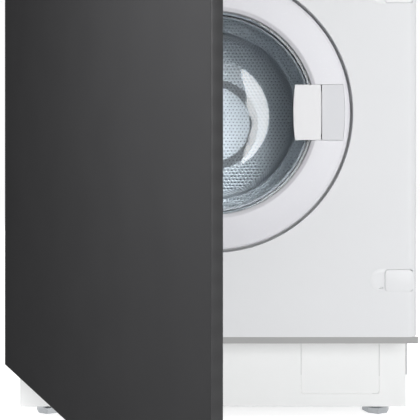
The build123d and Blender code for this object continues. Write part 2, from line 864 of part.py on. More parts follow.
with BuildPart() as tub:
    with BuildSketch(facing(tub_front_face)):
        with Locations((0, porthole_height)):
            RegularPolygon(tub_radius, tub_facets)
    extrude(amount=-(tub_back - tub_front_face))
    for side in (-1, 1):
        lug_foot = porthole_height + tub_surface(spring_x) - tub_wall
        spring_lug = box_on(
            facing(spring_depth - tub_wall),
            side * spring_x - tub_lug_width / 2,
            side * spring_x + tub_lug_width / 2,
            lug_foot - tub_lug_width,
            spring_lug_top,
        )
        extrude(spring_lug, amount=-2 * tub_wall)
        for y in (damper_depth - lug_half - lug_wall, damper_depth + lug_half):
            damper_lug = box_on(
                facing(y),
                side * damper_high[0] - damper_eye_radius,
                side * damper_high[0] + damper_eye_radius,
                damper_high[1] - damper_eye_radius,
                porthole_height - tub_surface(damper_high[0] + damper_eye_radius) + tub_wall,
            )
            extrude(damper_lug, amount=-lug_wall)
    for y in motor_lug_depths:
        motor_lug = box_on(
            facing(y),
            motor_x - motor_lug_width / 2,
            motor_x + motor_lug_width / 2,
            motor_height + motor_radius + body_gap,
            porthole_height - tub_surface(motor_x - motor_lug_width / 2) + tub_wall,
        )
        extrude(motor_lug, amount=-motor_lug_wall)
    with BuildSketch(level(porthole_height)):
        with Locations((boot_x, boot_y)):
            RegularPolygon(boot_radius, small_facets)
    extrude(amount=housing_low - body_gap - porthole_height)
    with BuildSketch(level(sump_end)):
        with Locations((flap_x, sump_y)):
            RegularPolygon(sump_radius, small_facets)
    extrude(amount=tub_radius / 2)
    with BuildSketch(facing(tub_front_face + tub_wall)):
        with Locations((0, porthole_height)):
            RegularPolygon(tub_radius - tub_wall, tub_facets)
    extrude(amount=-(tub_back - tub_front_face - 2 * tub_wall), mode=Mode.SUBTRACT)
    with BuildSketch(facing(tub_front_face)):
        with Locations((0, porthole_height)):
            RegularPolygon(tub_mouth_radius, large_facets, major_radius=False)
    extrude(amount=-tub_wall, mode=Mode.SUBTRACT)
    with BuildSketch(facing(hub_front)):
        with Locations((0, porthole_height)):
            RegularPolygon(hub_radius, small_facets)
    extrude(amount=-(hub_end - hub_front))
    with BuildSketch(facing(hub_front)):
        with Locations((0, porthole_height)):
            RegularPolygon(shaft_radius + running_gap, small_facets, major_radius=False)
    extrude(amount=-(hub_end - hub_front), mode=Mode.SUBTRACT)
    with BuildSketch(level(porthole_height)):
        with Locations((boot_x, boot_y)):
            RegularPolygon(boot_radius - stub_wall, small_facets)
    extrude(amount=drawer_bottom - porthole_height, mode=Mode.SUBTRACT)
    with BuildSketch(level(sump_end)):
        with Locations((flap_x, sump_y)):
            RegularPolygon(sump_radius - stub_wall, small_facets)
    extrude(amount=tub_radius / 2, mode=Mode.SUBTRACT)
    with BuildSketch(facing(tub_front_face)):
        with Locations((-heater_half_width, heater_height), (heater_half_width, heater_height)):
            Rectangle(2 * (heater_tube + body_gap), 2 * (heater_tube + body_gap))
    extrude(amount=-tub_wall, mode=Mode.SUBTRACT)
save(tub, "tub")

# Door gasket: rubber sleeve with one fold between the dish and the tub mouth
gasket_wall = 3.0
gasket_front = inner_ring_rear + 0.4
gasket_lip_radius = 151.0
gasket_outer = dish_inner_radius - body_gap
gasket_fold_y = 46.0
gasket_rear = tub_front_face + tub_wall
gasket_rear_outer = tub_mouth_radius - body_gap

with BuildPart() as door_gasket:
    rings = (
        (gasket_front, gasket_fold_y, gasket_outer),
        (gasket_fold_y, gasket_rear, gasket_rear_outer),
    )
    for y_low, y_high, radius in rings:
        with BuildSketch(facing(y_low)):
            with Locations((0, porthole_height)):
                RegularPolygon(radius, tub_facets)
        extrude(amount=-(y_high - y_low))
    hollows = (
        (gasket_front, gasket_front + gasket_wall, gasket_lip_radius),
        (gasket_front + gasket_wall, gasket_rear, gasket_outer - gasket_wall),
    )
    for y_low, y_high, radius in hollows:
        with BuildSketch(facing(y_low)):
            with Locations((0, porthole_height)):
                RegularPolygon(radius, tub_facets)
        extrude(amount=-(y_high - y_low), mode=Mode.SUBTRACT)
save(door_gasket, "door_gasket")

# Drum: rolled steel shell with a drawn front and back
with BuildPart() as drum_shell:
    with BuildSketch(facing(drum_front)):
        with Locations((0, porthole_height)):
            RegularPolygon(drum_radius, large_facets, major_radius=False)
    extrude(amount=-(drum_back - drum_front))
    with BuildSketch(facing(drum_front + drum_wall)):
        with Locations((0, porthole_height)):
            RegularPolygon(drum_radius - drum_wall, large_facets, major_radius=False)
    extrude(amount=-(drum_back - drum_front - 2 * drum_wall), mode=Mode.SUBTRACT)
    with BuildSketch(facing(drum_front)):
        with Locations((0, porthole_height)):
            RegularPolygon(drum_mouth_radius, large_facets)
    extrude(amount=-drum_wall, mode=Mode.SUBTRACT)
save(drum_shell, "drum_shell")

# Lifters: three hollow-backed paddles with a rounded crest, seated on the drum's wall
lifter_base = 78.0
lifter_height = 52.0
lifter_crest = 9.0
lifter_end_gap = 8.0
lifter_seat = drum_radius - drum_wall - body_gap

with BuildPart() as drum_lifters:
    for turn in (90, 210, 330):
        section = Plane(
            origin=(0, drum_front + drum_wall + lifter_end_gap, porthole_height),
            x_dir=(cos(radians(turn - 90)), 0, sin(radians(turn - 90))),
            z_dir=(0, 1, 0),
        )
        flip = -1 if section.y_dir.dot(Vector(cos(radians(turn)), 0, sin(radians(turn)))) < 0 else 1
        with BuildSketch(section) as paddle:
            crest_y = flip * (lifter_seat - lifter_height)
            foot_y = flip * (sqrt(lifter_seat**2 - lifter_base**2 / 4))
            with BuildLine():
                Line((-lifter_base / 2, foot_y), (-lifter_crest, crest_y))
                ThreePointArc(
                    (-lifter_crest, crest_y),
                    (0, crest_y - flip * lifter_crest / 2),
                    (lifter_crest, crest_y),
                )
                Line((lifter_crest, crest_y), (lifter_base / 2, foot_y))
                ThreePointArc(
                    (lifter_base / 2, foot_y), (0, flip * lifter_seat), (-lifter_base / 2, foot_y)
                )
            make_face()
        extrude(amount=drum_back - drum_front - 2 * drum_wall - 2 * lifter_end_gap)
save(drum_lifters, "drum_lifters")

# Drum spider: three cast arms behind the drum and the shaft that runs through the tub's hub
spider_reach = 232.0
spider_root = 44.0
spider_tip = 20.0
spider_front = drum_back + body_gap
spider_depth = 20.0
spider_hub_radius = 38.0
shaft_end = pulley_front + pulley_width + 4.0

with BuildPart() as drum_shaft:
    with BuildSketch(facing(spider_front)):
        for turn in (30, 150, 270):
            with Locations(Location((0, porthole_height), turn)):
                Polygon(
                    (0, -spider_root / 2),
                    (spider_reach, -spider_tip / 2),
                    (spider_reach, spider_tip / 2),
                    (0, spider_root / 2),
                    align=None,
                )
        with Locations((0, porthole_height)):
            RegularPolygon(spider_hub_radius, 6)
    extrude(amount=-spider_depth)
    with BuildSketch(facing(spider_front)):
        with Locations((0, porthole_height)):
            Circle(shaft_radius)
    extrude(amount=-(shaft_end - spider_front))
save(drum_shaft, "drum_shaft")

# Drum pulley: rim, six spokes and a hub keyed to the shaft
pulley_rim = 9.0
pulley_hub_radius = 26.0
pulley_spoke = 18.0
pulley_web = 10.0

with BuildPart() as drum_pulley:
    with BuildSketch(facing(pulley_front)):
        with Locations((0, porthole_height)):
            RegularPolygon(pulley_radius, wheel_facets)
            RegularPolygon(pulley_radius - pulley_rim, wheel_facets, mode=Mode.SUBTRACT)
    extrude(amount=-pulley_width)
    with BuildSketch(facing(pulley_front + (pulley_width - pulley_web) / 2)):
        for turn in (0, 60, 120):
            with Locations(Location((0, porthole_height), turn)):
                Rectangle(2 * pulley_radius - pulley_rim, pulley_spoke)
        with Locations((0, porthole_height)):
            RegularPolygon(pulley_hub_radius, 12)
    extrude(amount=-pulley_web)
    with BuildSketch(facing(pulley_front)):
        with Locations((0, porthole_height)):
            RegularPolygon(shaft_radius + running_gap, small_facets, major_radius=False)
    extrude(amount=-pulley_width, mode=Mode.SUBTRACT)
save(drum_pulley, "drum_pulley")

# Motor hung under the tub, with its end cap and mounting flat
motor_cap_radius = 38.0
motor_cap = 10.0
motor_shaft_radius = 6.0
motor_shaft_seat = 20.0
motor_centre = (motor_x, motor_height)

with BuildPart() as motor_body:
    with BuildSketch(facing(motor_front)):
        with Locations(motor_centre):
            RegularPolygon(motor_radius, 16)
    extrude(amount=-(motor_back - motor_cap - motor_front))
    with BuildSketch(facing(motor_back - motor_cap)):
        with Locations(motor_centre):
            RegularPolygon(motor_cap_radius, 16)
    extrude(amount=-motor_cap)
    for y in motor_lug_depths:
        motor_ear = box_on(
            facing(y),
            motor_x - motor_lug_width / 2,
            motor_x + motor_lug_width / 2,
            motor_height + motor_radius / 2,
            motor_height + motor_radius,
        )
        extrude(motor_ear, amount=-motor_lug_wall)
    with BuildSketch(facing(motor_back - motor_shaft_seat)):
        with Locations(motor_centre):
            RegularPolygon(motor_shaft_radius + running_gap, fine_facets, major_radius=False)
    extrude(amount=-motor_shaft_seat, mode=Mode.SUBTRACT)
save(motor_body, "motor_body")

# Motor pulley on its shaft
with BuildPart() as motor_pulley:
    with BuildSketch(facing(motor_back - motor_shaft_seat + body_gap)):
        with Locations(motor_centre):
            Circle(motor_shaft_radius)
    extrude(amount=-(pulley_front - motor_back + motor_shaft_seat))
    with BuildSketch(facing(pulley_front)):
        with Locations(motor_centre):
            RegularPolygon(motor_pulley_radius, 2 * small_facets)
    extrude(amount=-pulley_width)
save(motor_pulley, "motor_pulley")

# Drive belt round both pulleys
belt_front = pulley_front + (pulley_width - belt_width) / 2

with BuildPart() as drive_belt:
    for grow, mode in ((body_gap + belt_thickness, Mode.ADD), (body_gap, Mode.SUBTRACT)):
        with BuildSketch(facing(belt_front)):
            with Locations((0, porthole_height)):
                RegularPolygon(pulley_radius + grow, wheel_facets, major_radius=False)
            with Locations(motor_centre):
                RegularPolygon(motor_pulley_radius + grow, 2 * small_facets, major_radius=False)
            make_hull()
        extrude(amount=-belt_width, mode=mode)
save(drive_belt, "drive_belt")

# Counterweights: a concrete block on the tub and a C-shaped ring in front of it
block_left = -190.0
block_right = 78.0
block_front = 84.0
block_rear = 180.0
block_top = cabinet_height - 44.0
ring_weight_front = 44.0
ring_weight_inner = 186.0
ring_weight_half_angle = 62.0
heater_bay_half = 50.0
heater_bay_height = 34.0

with BuildPart() as top_counterweight:
    block = box_on(facing(block_front), block_left, block_right, porthole_height, block_top)
    extrude(block, amount=-(block_rear - block_front))
    with BuildSketch(facing(block_front)):
        with Locations((0, porthole_height)):
            Circle(tub_radius + body_gap)
    extrude(amount=-(block_rear - block_front), mode=Mode.SUBTRACT)
    with BuildSketch(facing(block_front)):
        with Locations((0, porthole_height + tub_radius / 2)):
            Rectangle(2 * tub_radius, tub_radius)
        with Locations((0, porthole_height + tub_surface(block_left) + tub_radius)):
            Rectangle(2 * tub_radius, 2 * tub_radius, mode=Mode.SUBTRACT)
    extrude(amount=-(block_rear - block_front), mode=Mode.SUBTRACT)
save(top_counterweight, "top_counterweight")

with BuildPart() as front_counterweight:
    with BuildSketch(facing(ring_weight_front)):
        with BuildLine():
            start = 270 - ring_weight_half_angle
            sweep_angle = 2 * ring_weight_half_angle
            outer = CenterArc((0, porthole_height), tub_radius, start, sweep_angle)
            inner = CenterArc((0, porthole_height), ring_weight_inner, start, sweep_angle)
            Line(outer @ 0, inner @ 0)
            Line(outer @ 1, inner @ 1)
        make_face()
    extrude(amount=-(tub_front_face - body_gap - ring_weight_front))
    heater_bay = box_on(
        facing(ring_weight_front),
        -heater_bay_half,
        heater_bay_half,
        porthole_height - tub_radius - body_gap,
        porthole_height - tub_radius + heater_bay_height,
    )
    extrude(heater_bay, amount=-(tub_front_face - ring_weight_front), mode=Mode.SUBTRACT)
save(front_counterweight, "front_counterweight")

# Heater: a folded tube in the tub's bottom, held by a flange at the tub's front
with BuildPart() as heater_element:
    with BuildSketch(level(heater_height - heater_tube)):
        with BuildLine():
            Polyline(
                (-heater_half_width, heater_start),
                (-heater_half_width, heater_end - heater_fold),
                (-heater_half_width + heater_fold, heater_end),
                (heater_half_width - heater_fold, heater_end),
                (heater_half_width, heater_end - heater_fold),
                (heater_half_width, heater_start),
            )
        trace(line_width=2 * heater_tube)
    extrude(amount=2 * heater_tube)
    heater_seat = box_on(
        facing(tub_front_face - body_gap),
        -heater_half_width - heater_flange / 2,
        heater_half_width + heater_flange / 2,
        heater_height - heater_flange / 3,
        heater_height + heater_flange / 2,
    )
    extrude(heater_seat, amount=lug_wall)
save(heater_element, "heater_element")

# Suspension springs, each a straight core between its two hooks with the coil as a plain sleeve
spring_radius = 14.0
spring_wire = 3.0
spring_body_low = spring_lug_top + 20.0
spring_body_high = bar_bottom - 24.0

with BuildPart() as suspension_springs:
    with BuildSketch(level(spring_lug_top + body_gap)):
        with Locations((-spring_x, spring_depth), (spring_x, spring_depth)):
            RegularPolygon(spring_wire, fine_facets)
    extrude(amount=bar_bottom - spring_lug_top - 2 * body_gap)
    with BuildSketch(level(spring_body_low)):
        with Locations((-spring_x, spring_depth), (spring_x, spring_depth)):
            RegularPolygon(spring_radius, small_facets)
    extrude(amount=spring_body_high - spring_body_low)
save(suspension_springs, "suspension_springs")

# Shock absorbers: sleeve below, rod above, an eye at each end between its two lugs
damper_sleeve_radius = 13.0
sleeve_share = 0.62

with BuildPart() as shock_absorbers:
    for side in (-1, 1):
        low = Vector(side * damper_low[0], damper_depth, damper_low[1])
        high = Vector(side * damper_high[0], damper_depth, damper_high[1])
        along = (high - low).normalized()
        reach = (high - low).length
        with BuildSketch(Plane(low, z_dir=along)):
            RegularPolygon(damper_eye_radius, 8)
        extrude(amount=reach)
        with BuildSketch(Plane(low + along * 2 * damper_eye_radius, z_dir=along)):
            RegularPolygon(damper_sleeve_radius, small_facets)
        extrude(amount=reach * sleeve_share - damper_eye_radius)
        with BuildSketch(facing(damper_depth - damper_eye_width / 2)):
            with Locations((low.X, low.Z), (high.X, high.Z)):
                RegularPolygon(damper_eye_radius, fine_facets)
        extrude(amount=-damper_eye_width)
save(shock_absorbers, "shock_absorbers")

# Drain pump: filter barrel to the front, upright inlet and a motor behind
pump_x = flap_x
pump_height = 95.0
pump_radius = 27.0
pump_front = plinth_setback + sheet + 6.0
pump_volute_depth = 150.0
pump_motor_radius = 21.0
pump_rear = 222.0
pump_wall = 2.5
barrel_depth = 52.0
pump_inlet_top = 148.0
pump_seat = tray_bottom + tray_wall + body_gap
spigot_depth = 122.0
hose_radius = 9.0
hose_start = pump_x + pump_radius + hose_radius

with BuildPart() as drain_pump:
    with BuildSketch(facing(pump_front)):
        with Locations((pump_x, pump_height)):
            RegularPolygon(pump_radius, 2 * small_facets)
    extrude(amount=-(pump_volute_depth - pump_front))
    with BuildSketch(facing(pump_volute_depth)):
        with Locations((pump_x, pump_height)):
            RegularPolygon(pump_motor_radius, 12)
    extrude(amount=-(pump_rear - pump_volute_depth))
    with BuildSketch(level(pump_height)):
        with Locations((pump_x, sump_y)):
            RegularPolygon(sump_radius, small_facets)
    extrude(amount=pump_inlet_top - pump_height)
    pump_foot = box_on(
        facing(pump_volute_depth - 2 * tray_rib),
        pump_x - pump_radius / 2,
        pump_x + pump_radius / 2,
        pump_seat,
        pump_height,
    )
    extrude(pump_foot, amount=-4 * tray_rib)
    pump_spigot = box_on(
        facing(spigot_depth),
        pump_x,
        hose_start + hose_radius,
        pump_height - hose_radius,
        pump_height + hose_radius,
    )
    extrude(pump_spigot, amount=-2 * hose_radius)
    with BuildSketch(facing(pump_front)):
        with Locations((pump_x, pump_height)):
            RegularPolygon(pump_radius - pump_wall, 2 * small_facets)
    extrude(amount=-barrel_depth, mode=Mode.SUBTRACT)
save(drain_pump, "drain_pump")

# Filter cap: round cap with a grip bar and the strainer cup behind it
cap_radius = pump_radius - pump_wall - body_gap
cap_front = plinth_setback + sheet + 2.0
cap_thick = 8.0
cap_grip = 6.0
cap_grip_reach = 19.0
strainer_radius = cap_radius - 5.0

with BuildPart() as pump_filter_cap:
    with BuildSketch(facing(pump_front - body_gap)):
        with Locations((pump_x, pump_height)):
            Circle(pump_radius)
    extrude(amount=pump_front - body_gap - cap_front)
    grip = box_on(
        facing(cap_front),
        pump_x - cap_grip_reach,
        pump_x + cap_grip_reach,
        pump_height - cap_grip / 2,
        pump_height + cap_grip / 2,
    )
    extrude(grip, amount=cap_front - plinth_setback - sheet - body_gap)
    with BuildSketch(facing(pump_front - body_gap)):
        with Locations((pump_x, pump_height)):
            RegularPolygon(strainer_radius, fine_facets)
            RegularPolygon(strainer_radius - pump_wall, fine_facets, mode=Mode.SUBTRACT)
    extrude(amount=-barrel_depth + cap_thick)
save(pump_filter_cap, "pump_filter_cap")

# Pump flap: lid in the kick plate that tips forward about its lower edge

with BuildPart() as pump_flap:
    with BuildSketch(facing(kick_front)):
        with Locations((flap_x, flap_bottom + flap_height / 2)):
            cut_rectangle(flap_width - 2 * flap_gap, flap_height - 2 * flap_gap, flap_corner)
    extrude(amount=-sheet)
save(pump_flap, "pump_flap")

# Sump hose: short upright rubber sleeve between the tub's outlet and the pump's inlet
with BuildPart() as sump_hose:
    with BuildSketch(level(pump_inlet_top + body_gap)):
        with Locations((pump_x, sump_y)):
            RegularPolygon(sump_radius, small_facets)
            RegularPolygon(sump_radius - stub_wall, small_facets, mode=Mode.SUBTRACT)
    extrude(amount=sump_end - pump_inlet_top - 2 * body_gap)
save(sump_hose, "sump_hose")

# Drain hose along the floor, up the rear corner and back to the nipple in the rear panel
hose_bend = 30.0
hose_low = pump_height
hose_rise = 440.0
hose_stub = 34.0
nipple_front = 480.0

with BuildPart() as drain_hose:
    with BuildLine() as hose_path:
        FilletPolyline(
            (hose_start, spigot_depth + 2 * hose_radius + body_gap, hose_low),
            (hose_start, spigot_depth + 2 * hose_radius + hose_stub, hose_low),
            (outlet_x, hose_rise, hose_low),
            (outlet_x, hose_rise, outlet_height),
            (outlet_x, nipple_front - body_gap, outlet_height),
            radius=hose_bend,
        )
    with BuildSketch(Plane(hose_path.line @ 0, z_dir=hose_path.line % 0)):
        RegularPolygon(hose_radius, 6)
    sweep(path=hose_path.line)
save(drain_hose, "drain_hose")

# Outlet nipple for the outer drain hose
nipple_flange = 14.0

with BuildPart() as drain_outlet:
    with BuildSketch(facing(nipple_front)):
        with Locations((outlet_x, outlet_height)):
            RegularPolygon(outlet_radius, small_facets)
    extrude(amount=-(rear_face + body_gap - nipple_front))
    with BuildSketch(facing(rear_face + body_gap + lug_wall)):
        with Locations((outlet_x, outlet_height)):
            Circle(outlet_radius)
    extrude(amount=-(spigot_end - rear_face - body_gap - lug_wall))
    with BuildSketch(facing(rear_face + body_gap)):
        with Locations((outlet_x, outlet_height)):
            RegularPolygon(nipple_flange, 6)
    extrude(amount=-lug_wall)
save(drain_outlet, "drain_outlet")

# Water inlet valve: threaded spigot through the rear panel, coil and outlet
valve_front = 452.0
valve_body = 18.0
valve_coil_height = 40.0
valve_coil_radius = 14.4
fill_radius = 8.0
valve_flange = 24.0

with BuildPart() as water_inlet_valve:
    with BuildSketch(facing(rear_plate_front - body_gap)):
        with Locations((inlet_x, inlet_height)):
            RegularPolygon(inlet_radius, small_facets)
    extrude(amount=-(rear_face - rear_plate_front + 2 * body_gap))
    with BuildSketch(facing(rear_face + body_gap)):
        with Locations((inlet_x, inlet_height)):
            Circle(inlet_radius)
    extrude(amount=-(spigot_end - rear_face - body_gap))
    valve_block = box_on(
        facing(rear_plate_front - body_gap),
        inlet_x - valve_flange,
        inlet_x + valve_flange,
        inlet_height - valve_body,
        inlet_height + valve_body,
    )
    extrude(valve_block, amount=lug_wall)
    valve_core = box_on(
        facing(rear_plate_front - body_gap),
        inlet_x - valve_body,
        inlet_x + valve_body,
        inlet_height - valve_body,
        inlet_height + valve_body,
    )
    extrude(valve_core, amount=rear_plate_front - body_gap - valve_front - fill_radius)
    with BuildSketch(facing(valve_front)):
        with Locations((inlet_x, inlet_height)):
            RegularPolygon(fill_radius, 8)
    extrude(amount=-2 * fill_radius)
    with BuildSketch(level(inlet_height - valve_body - valve_coil_height / 2)):
        with Locations((inlet_x, rear_plate_front - 2 * valve_body)):
            RegularPolygon(valve_coil_radius, fine_facets)
    extrude(amount=valve_coil_height / 2)
    with BuildSketch(facing(spigot_end)):
        with Locations((inlet_x, inlet_height)):
            RegularPolygon(fill_radius, fine_facets)
    extrude(amount=valve_body, mode=Mode.SUBTRACT)
save(water_inlet_valve, "water_inlet_valve")

# Dispenser housing: open-fronted box with water channels in its lid and an outlet to the tub
housing_front = fascia_wall + body_gap
housing_rear = 222.0
housing_left = drawer_left - housing_wall - housing_gap
housing_right = drawer_right + housing_wall + housing_gap
housing_head = 2.0
housing_top = drawer_top + housing_head
outlet_hole = 14.0

with BuildPart() as dispenser_housing:
    with BuildSketch(level(housing_low)):
        with Locations(((housing_left + housing_right) / 2, (housing_front + housing_rear) / 2)):
            Rectangle(housing_right - housing_left, housing_rear - housing_front)
    extrude(amount=housing_top - housing_low)
    offset(amount=-housing_wall, openings=dispenser_housing.faces().sort_by(Axis.Y)[0])
    with BuildSketch(level(housing_low)):
        with Locations((boot_x, boot_y)):
            RegularPolygon(outlet_hole, small_facets)
    extrude(amount=housing_wall, mode=Mode.SUBTRACT)
    with BuildSketch(facing(housing_rear)):
        with Locations((inlet_x, inlet_height)):
            RegularPolygon(fill_radius, 8)
    extrude(amount=-2 * fill_radius)
save(dispenser_housing, "dispenser_housing")

# Fill hose from the valve to the dispenser housing
fill_start = housing_rear + 2 * fill_radius + body_gap

with BuildPart() as fill_hose:
    with BuildSketch(facing(fill_start)):
        with Locations((inlet_x, inlet_height)):
            RegularPolygon(fill_radius, small_facets)
    extrude(amount=-(valve_front - body_gap - fill_start))
save(fill_hose, "fill_hose")

# Detergent drawer: tray with three compartments behind a flush front with a finger groove
drawer_front = -1.0
drawer_front_wall = 3.0
drawer_rear = 212.0
tray_side_gap = 3.0
tray_top = cabinet_height - 50.0
tray_base = drawer_bottom + button_gap
compartment_wall = 1.8
softener_width = 52.0
prewash_length = 70.0
groove_height = 16.0
groove_drop = 8.0
tray_front_y = 16.0
groove_width = 120.0
drawer_tray_left = drawer_left + tray_side_gap
drawer_tray_right = drawer_right - tray_side_gap

with BuildPart() as detergent_drawer:
    front_plate = box_on(
        facing(drawer_front),
        drawer_left + button_gap,
        drawer_right - button_gap,
        drawer_bottom + button_gap,
        drawer_top - button_gap,
    )
    extrude(front_plate, amount=-(fascia_wall + drawer_front_wall - drawer_front))
    with BuildSketch(level(tray_base)):
        with Locations(((drawer_tray_left + drawer_tray_right) / 2, drawer_rear / 2)):
            Rectangle(drawer_tray_right - drawer_tray_left, drawer_rear)
    extrude(amount=tray_top - tray_base)
    split_x = drawer_tray_right - softener_width
    cells = (
        (drawer_tray_left, split_x, tray_front_y, drawer_rear - prewash_length),
        (drawer_tray_left, split_x, drawer_rear - prewash_length, drawer_rear),
        (split_x, drawer_tray_right, tray_front_y, drawer_rear),
    )
    for x_low, x_high, y_low, y_high in cells:
        with BuildSketch(level(tray_base + compartment_wall)):
            with Locations(((x_low + x_high) / 2, (y_low + y_high) / 2)):
                Rectangle(x_high - x_low - 2 * compartment_wall, y_high - y_low - 2 * compartment_wall)
        extrude(amount=tray_top - tray_base, mode=Mode.SUBTRACT)
    groove = box_on(
        facing(drawer_front),
        (drawer_left + drawer_right - groove_width) / 2,
        (drawer_left + drawer_right + groove_width) / 2,
        drawer_top - groove_drop - groove_height,
        drawer_top - groove_drop,
    )
    extrude(groove, amount=-(fascia_wall + drawer_front_wall - drawer_front), mode=Mode.SUBTRACT)
save(detergent_drawer, "detergent_drawer")

# Pressure switch on the left side panel
switch_radius = 24.0
switch_y = 74.0
switch_height = cabinet_height - 56.0
switch_depth = 24.0
switch_nipple = 7.0

with BuildPart() as pressure_switch:
    with BuildSketch(Plane.YZ.offset(-half_width + sheet + body_gap)):
        with Locations((switch_y, switch_height)):
            RegularPolygon(switch_radius, 12)
    extrude(amount=switch_depth)
    with BuildSketch(level(switch_height - switch_radius - switch_nipple)):
        with Locations((-half_width + sheet + switch_depth / 2, switch_y)):
            Rectangle(switch_nipple, switch_nipple)
    extrude(amount=switch_radius / 2)
save(pressure_switch, "pressure_switch")

# Cable gland in the rear panel
gland_length = 16.0
gland_rim = 4.0

with BuildPart() as cable_gland:
    with BuildSketch(facing(rear_face + body_gap)):
        with Locations((gland_x, gland_height)):
            RegularPolygon(gland_radius + gland_rim, 6)
            RegularPolygon(gland_radius / 2, fine_facets, mode=Mode.SUBTRACT)
    extrude(amount=-gland_length / 2)
    with BuildSketch(facing(rear_face + body_gap)):
        with Locations((gland_x, gland_height)):
            RegularPolygon(gland_radius, 2 * small_facets)
            RegularPolygon(gland_radius / 2, fine_facets, mode=Mode.SUBTRACT)
    extrude(amount=gland_length)
save(cable_gland, "cable_gland")

# Door lock behind the dish, with the cavity that the handle's hook enters
lock_left = 165.0
lock_right = 226.0
lock_half_height = 32.0
lock_front = dish_depth + sheet + body_gap
lock_rear = 45.5
lock_cavity_left = 169.0
lock_cavity_right = 193.0
lock_cavity_rear = 41.0
lock_cavity_half = 12.0
strike_left = 188.6
strike_depth = 6.0

with BuildPart() as door_lock:
    lock_body = box_on(
        facing(lock_front),
        lock_left,
        lock_right,
        porthole_height - lock_half_height,
        porthole_height + lock_half_height,
    )
    extrude(lock_body, amount=-(lock_rear - lock_front))
    chamfer(door_lock.edges().filter_by(Axis.Z).group_by(Axis.Y)[-1], lug_wall)
    cavity = box_on(
        facing(lock_front),
        lock_cavity_left,
        lock_cavity_right,
        porthole_height - lock_cavity_half,
        porthole_height + lock_cavity_half,
    )
    extrude(cavity, amount=-(lock_cavity_rear - lock_front), mode=Mode.SUBTRACT)
    strike = box_on(
        facing(lock_front),
        strike_left,
        lock_cavity_right,
        porthole_height - lock_cavity_half,
        porthole_height + lock_cavity_half,
    )
    extrude(strike, amount=-strike_depth)
save(door_lock, "door_lock")

# Porthole hinge: bracket with its pin on the dish's floor
bracket_left = -198.0
bracket_right = -177.0
bracket_plate = 2.5
bracket_arm = 5.0
bracket_rear = dish_depth - body_gap
pin_length = 60.0
hinge_point = (hinge_pin_x, hinge_pin_y)
bracket_half = knuckle_height / 2

with BuildPart() as porthole_hinge_bracket:
    with BuildSketch(level(porthole_height - bracket_half)):
        with Locations(hinge_point):
            RegularPolygon(hinge_knuckle_radius, small_facets)
        with Locations((hinge_pin_x, (hinge_pin_y + bracket_rear) / 2)):
            Rectangle(bracket_arm, bracket_rear - hinge_pin_y)
        with Locations(((bracket_left + bracket_right) / 2, bracket_rear - bracket_plate / 2)):
            Rectangle(bracket_right - bracket_left, bracket_plate)
    extrude(amount=knuckle_height)
    with BuildSketch(level(porthole_height - pin_length / 2)):
        with Locations(hinge_point):
            Circle(hinge_pin_radius)
    extrude(amount=pin_length)
save(porthole_hinge_bracket, "porthole_hinge_bracket")

# Porthole hinge leaf: cast block in the door's channel with two knuckles on the pin
leaf_left = -178.0
leaf_right = -glass_flange_radius - 2 * body_gap
leaf_half = 42.0
leaf_tongue = 6.0
leaf_front = ring_back + body_gap
leaf_rear = ring_web_front - body_gap
knuckle_low = bracket_half + body_gap
knuckle_high = pin_length / 2 - 1.0

with BuildPart() as door_hinge_leaf:
    leaf_block = box_on(
        facing(leaf_front),
        leaf_left,
        leaf_right,
        porthole_height - leaf_half,
        porthole_height + leaf_half,
    )
    extrude(leaf_block, amount=-(leaf_rear - leaf_front))
    for base in (porthole_height + knuckle_low, porthole_height - knuckle_high):
        with BuildSketch(level(base)):
            with Locations(hinge_point):
                RegularPolygon(hinge_knuckle_radius, small_facets)
            with Locations(((hinge_pin_x + leaf_left) / 2, hinge_pin_y)):
                Rectangle(leaf_left - hinge_pin_x, leaf_tongue)
        extrude(amount=knuckle_high - knuckle_low)
    with BuildSketch(level(porthole_height - leaf_half)):
        with Locations(hinge_point):
            RegularPolygon(hinge_pin_radius + running_gap, small_facets, major_radius=False)
    extrude(amount=2 * leaf_half, mode=Mode.SUBTRACT)
save(door_hinge_leaf, "door_hinge_leaf")

# Handle lever: bowed finger paddle, pivot barrel, tail and latch hook in one moulding
paddle_thickness = 3.0
paddle_lip = 3.4
split_gap = 1.6
barrel_half = 31.0
web_left = 147.0
web_front = -1.5
tail_front = -0.4
tail_rear = 3.0
hook_width = 4.0
nose_reach = 4.0
nose_depth = 4.0
hook_half = 8.0
paddle_right = handle_split - split_gap / 2
paddle_back = handle_front + paddle_thickness
pivot_point = (handle_pivot_x, handle_pivot_y)

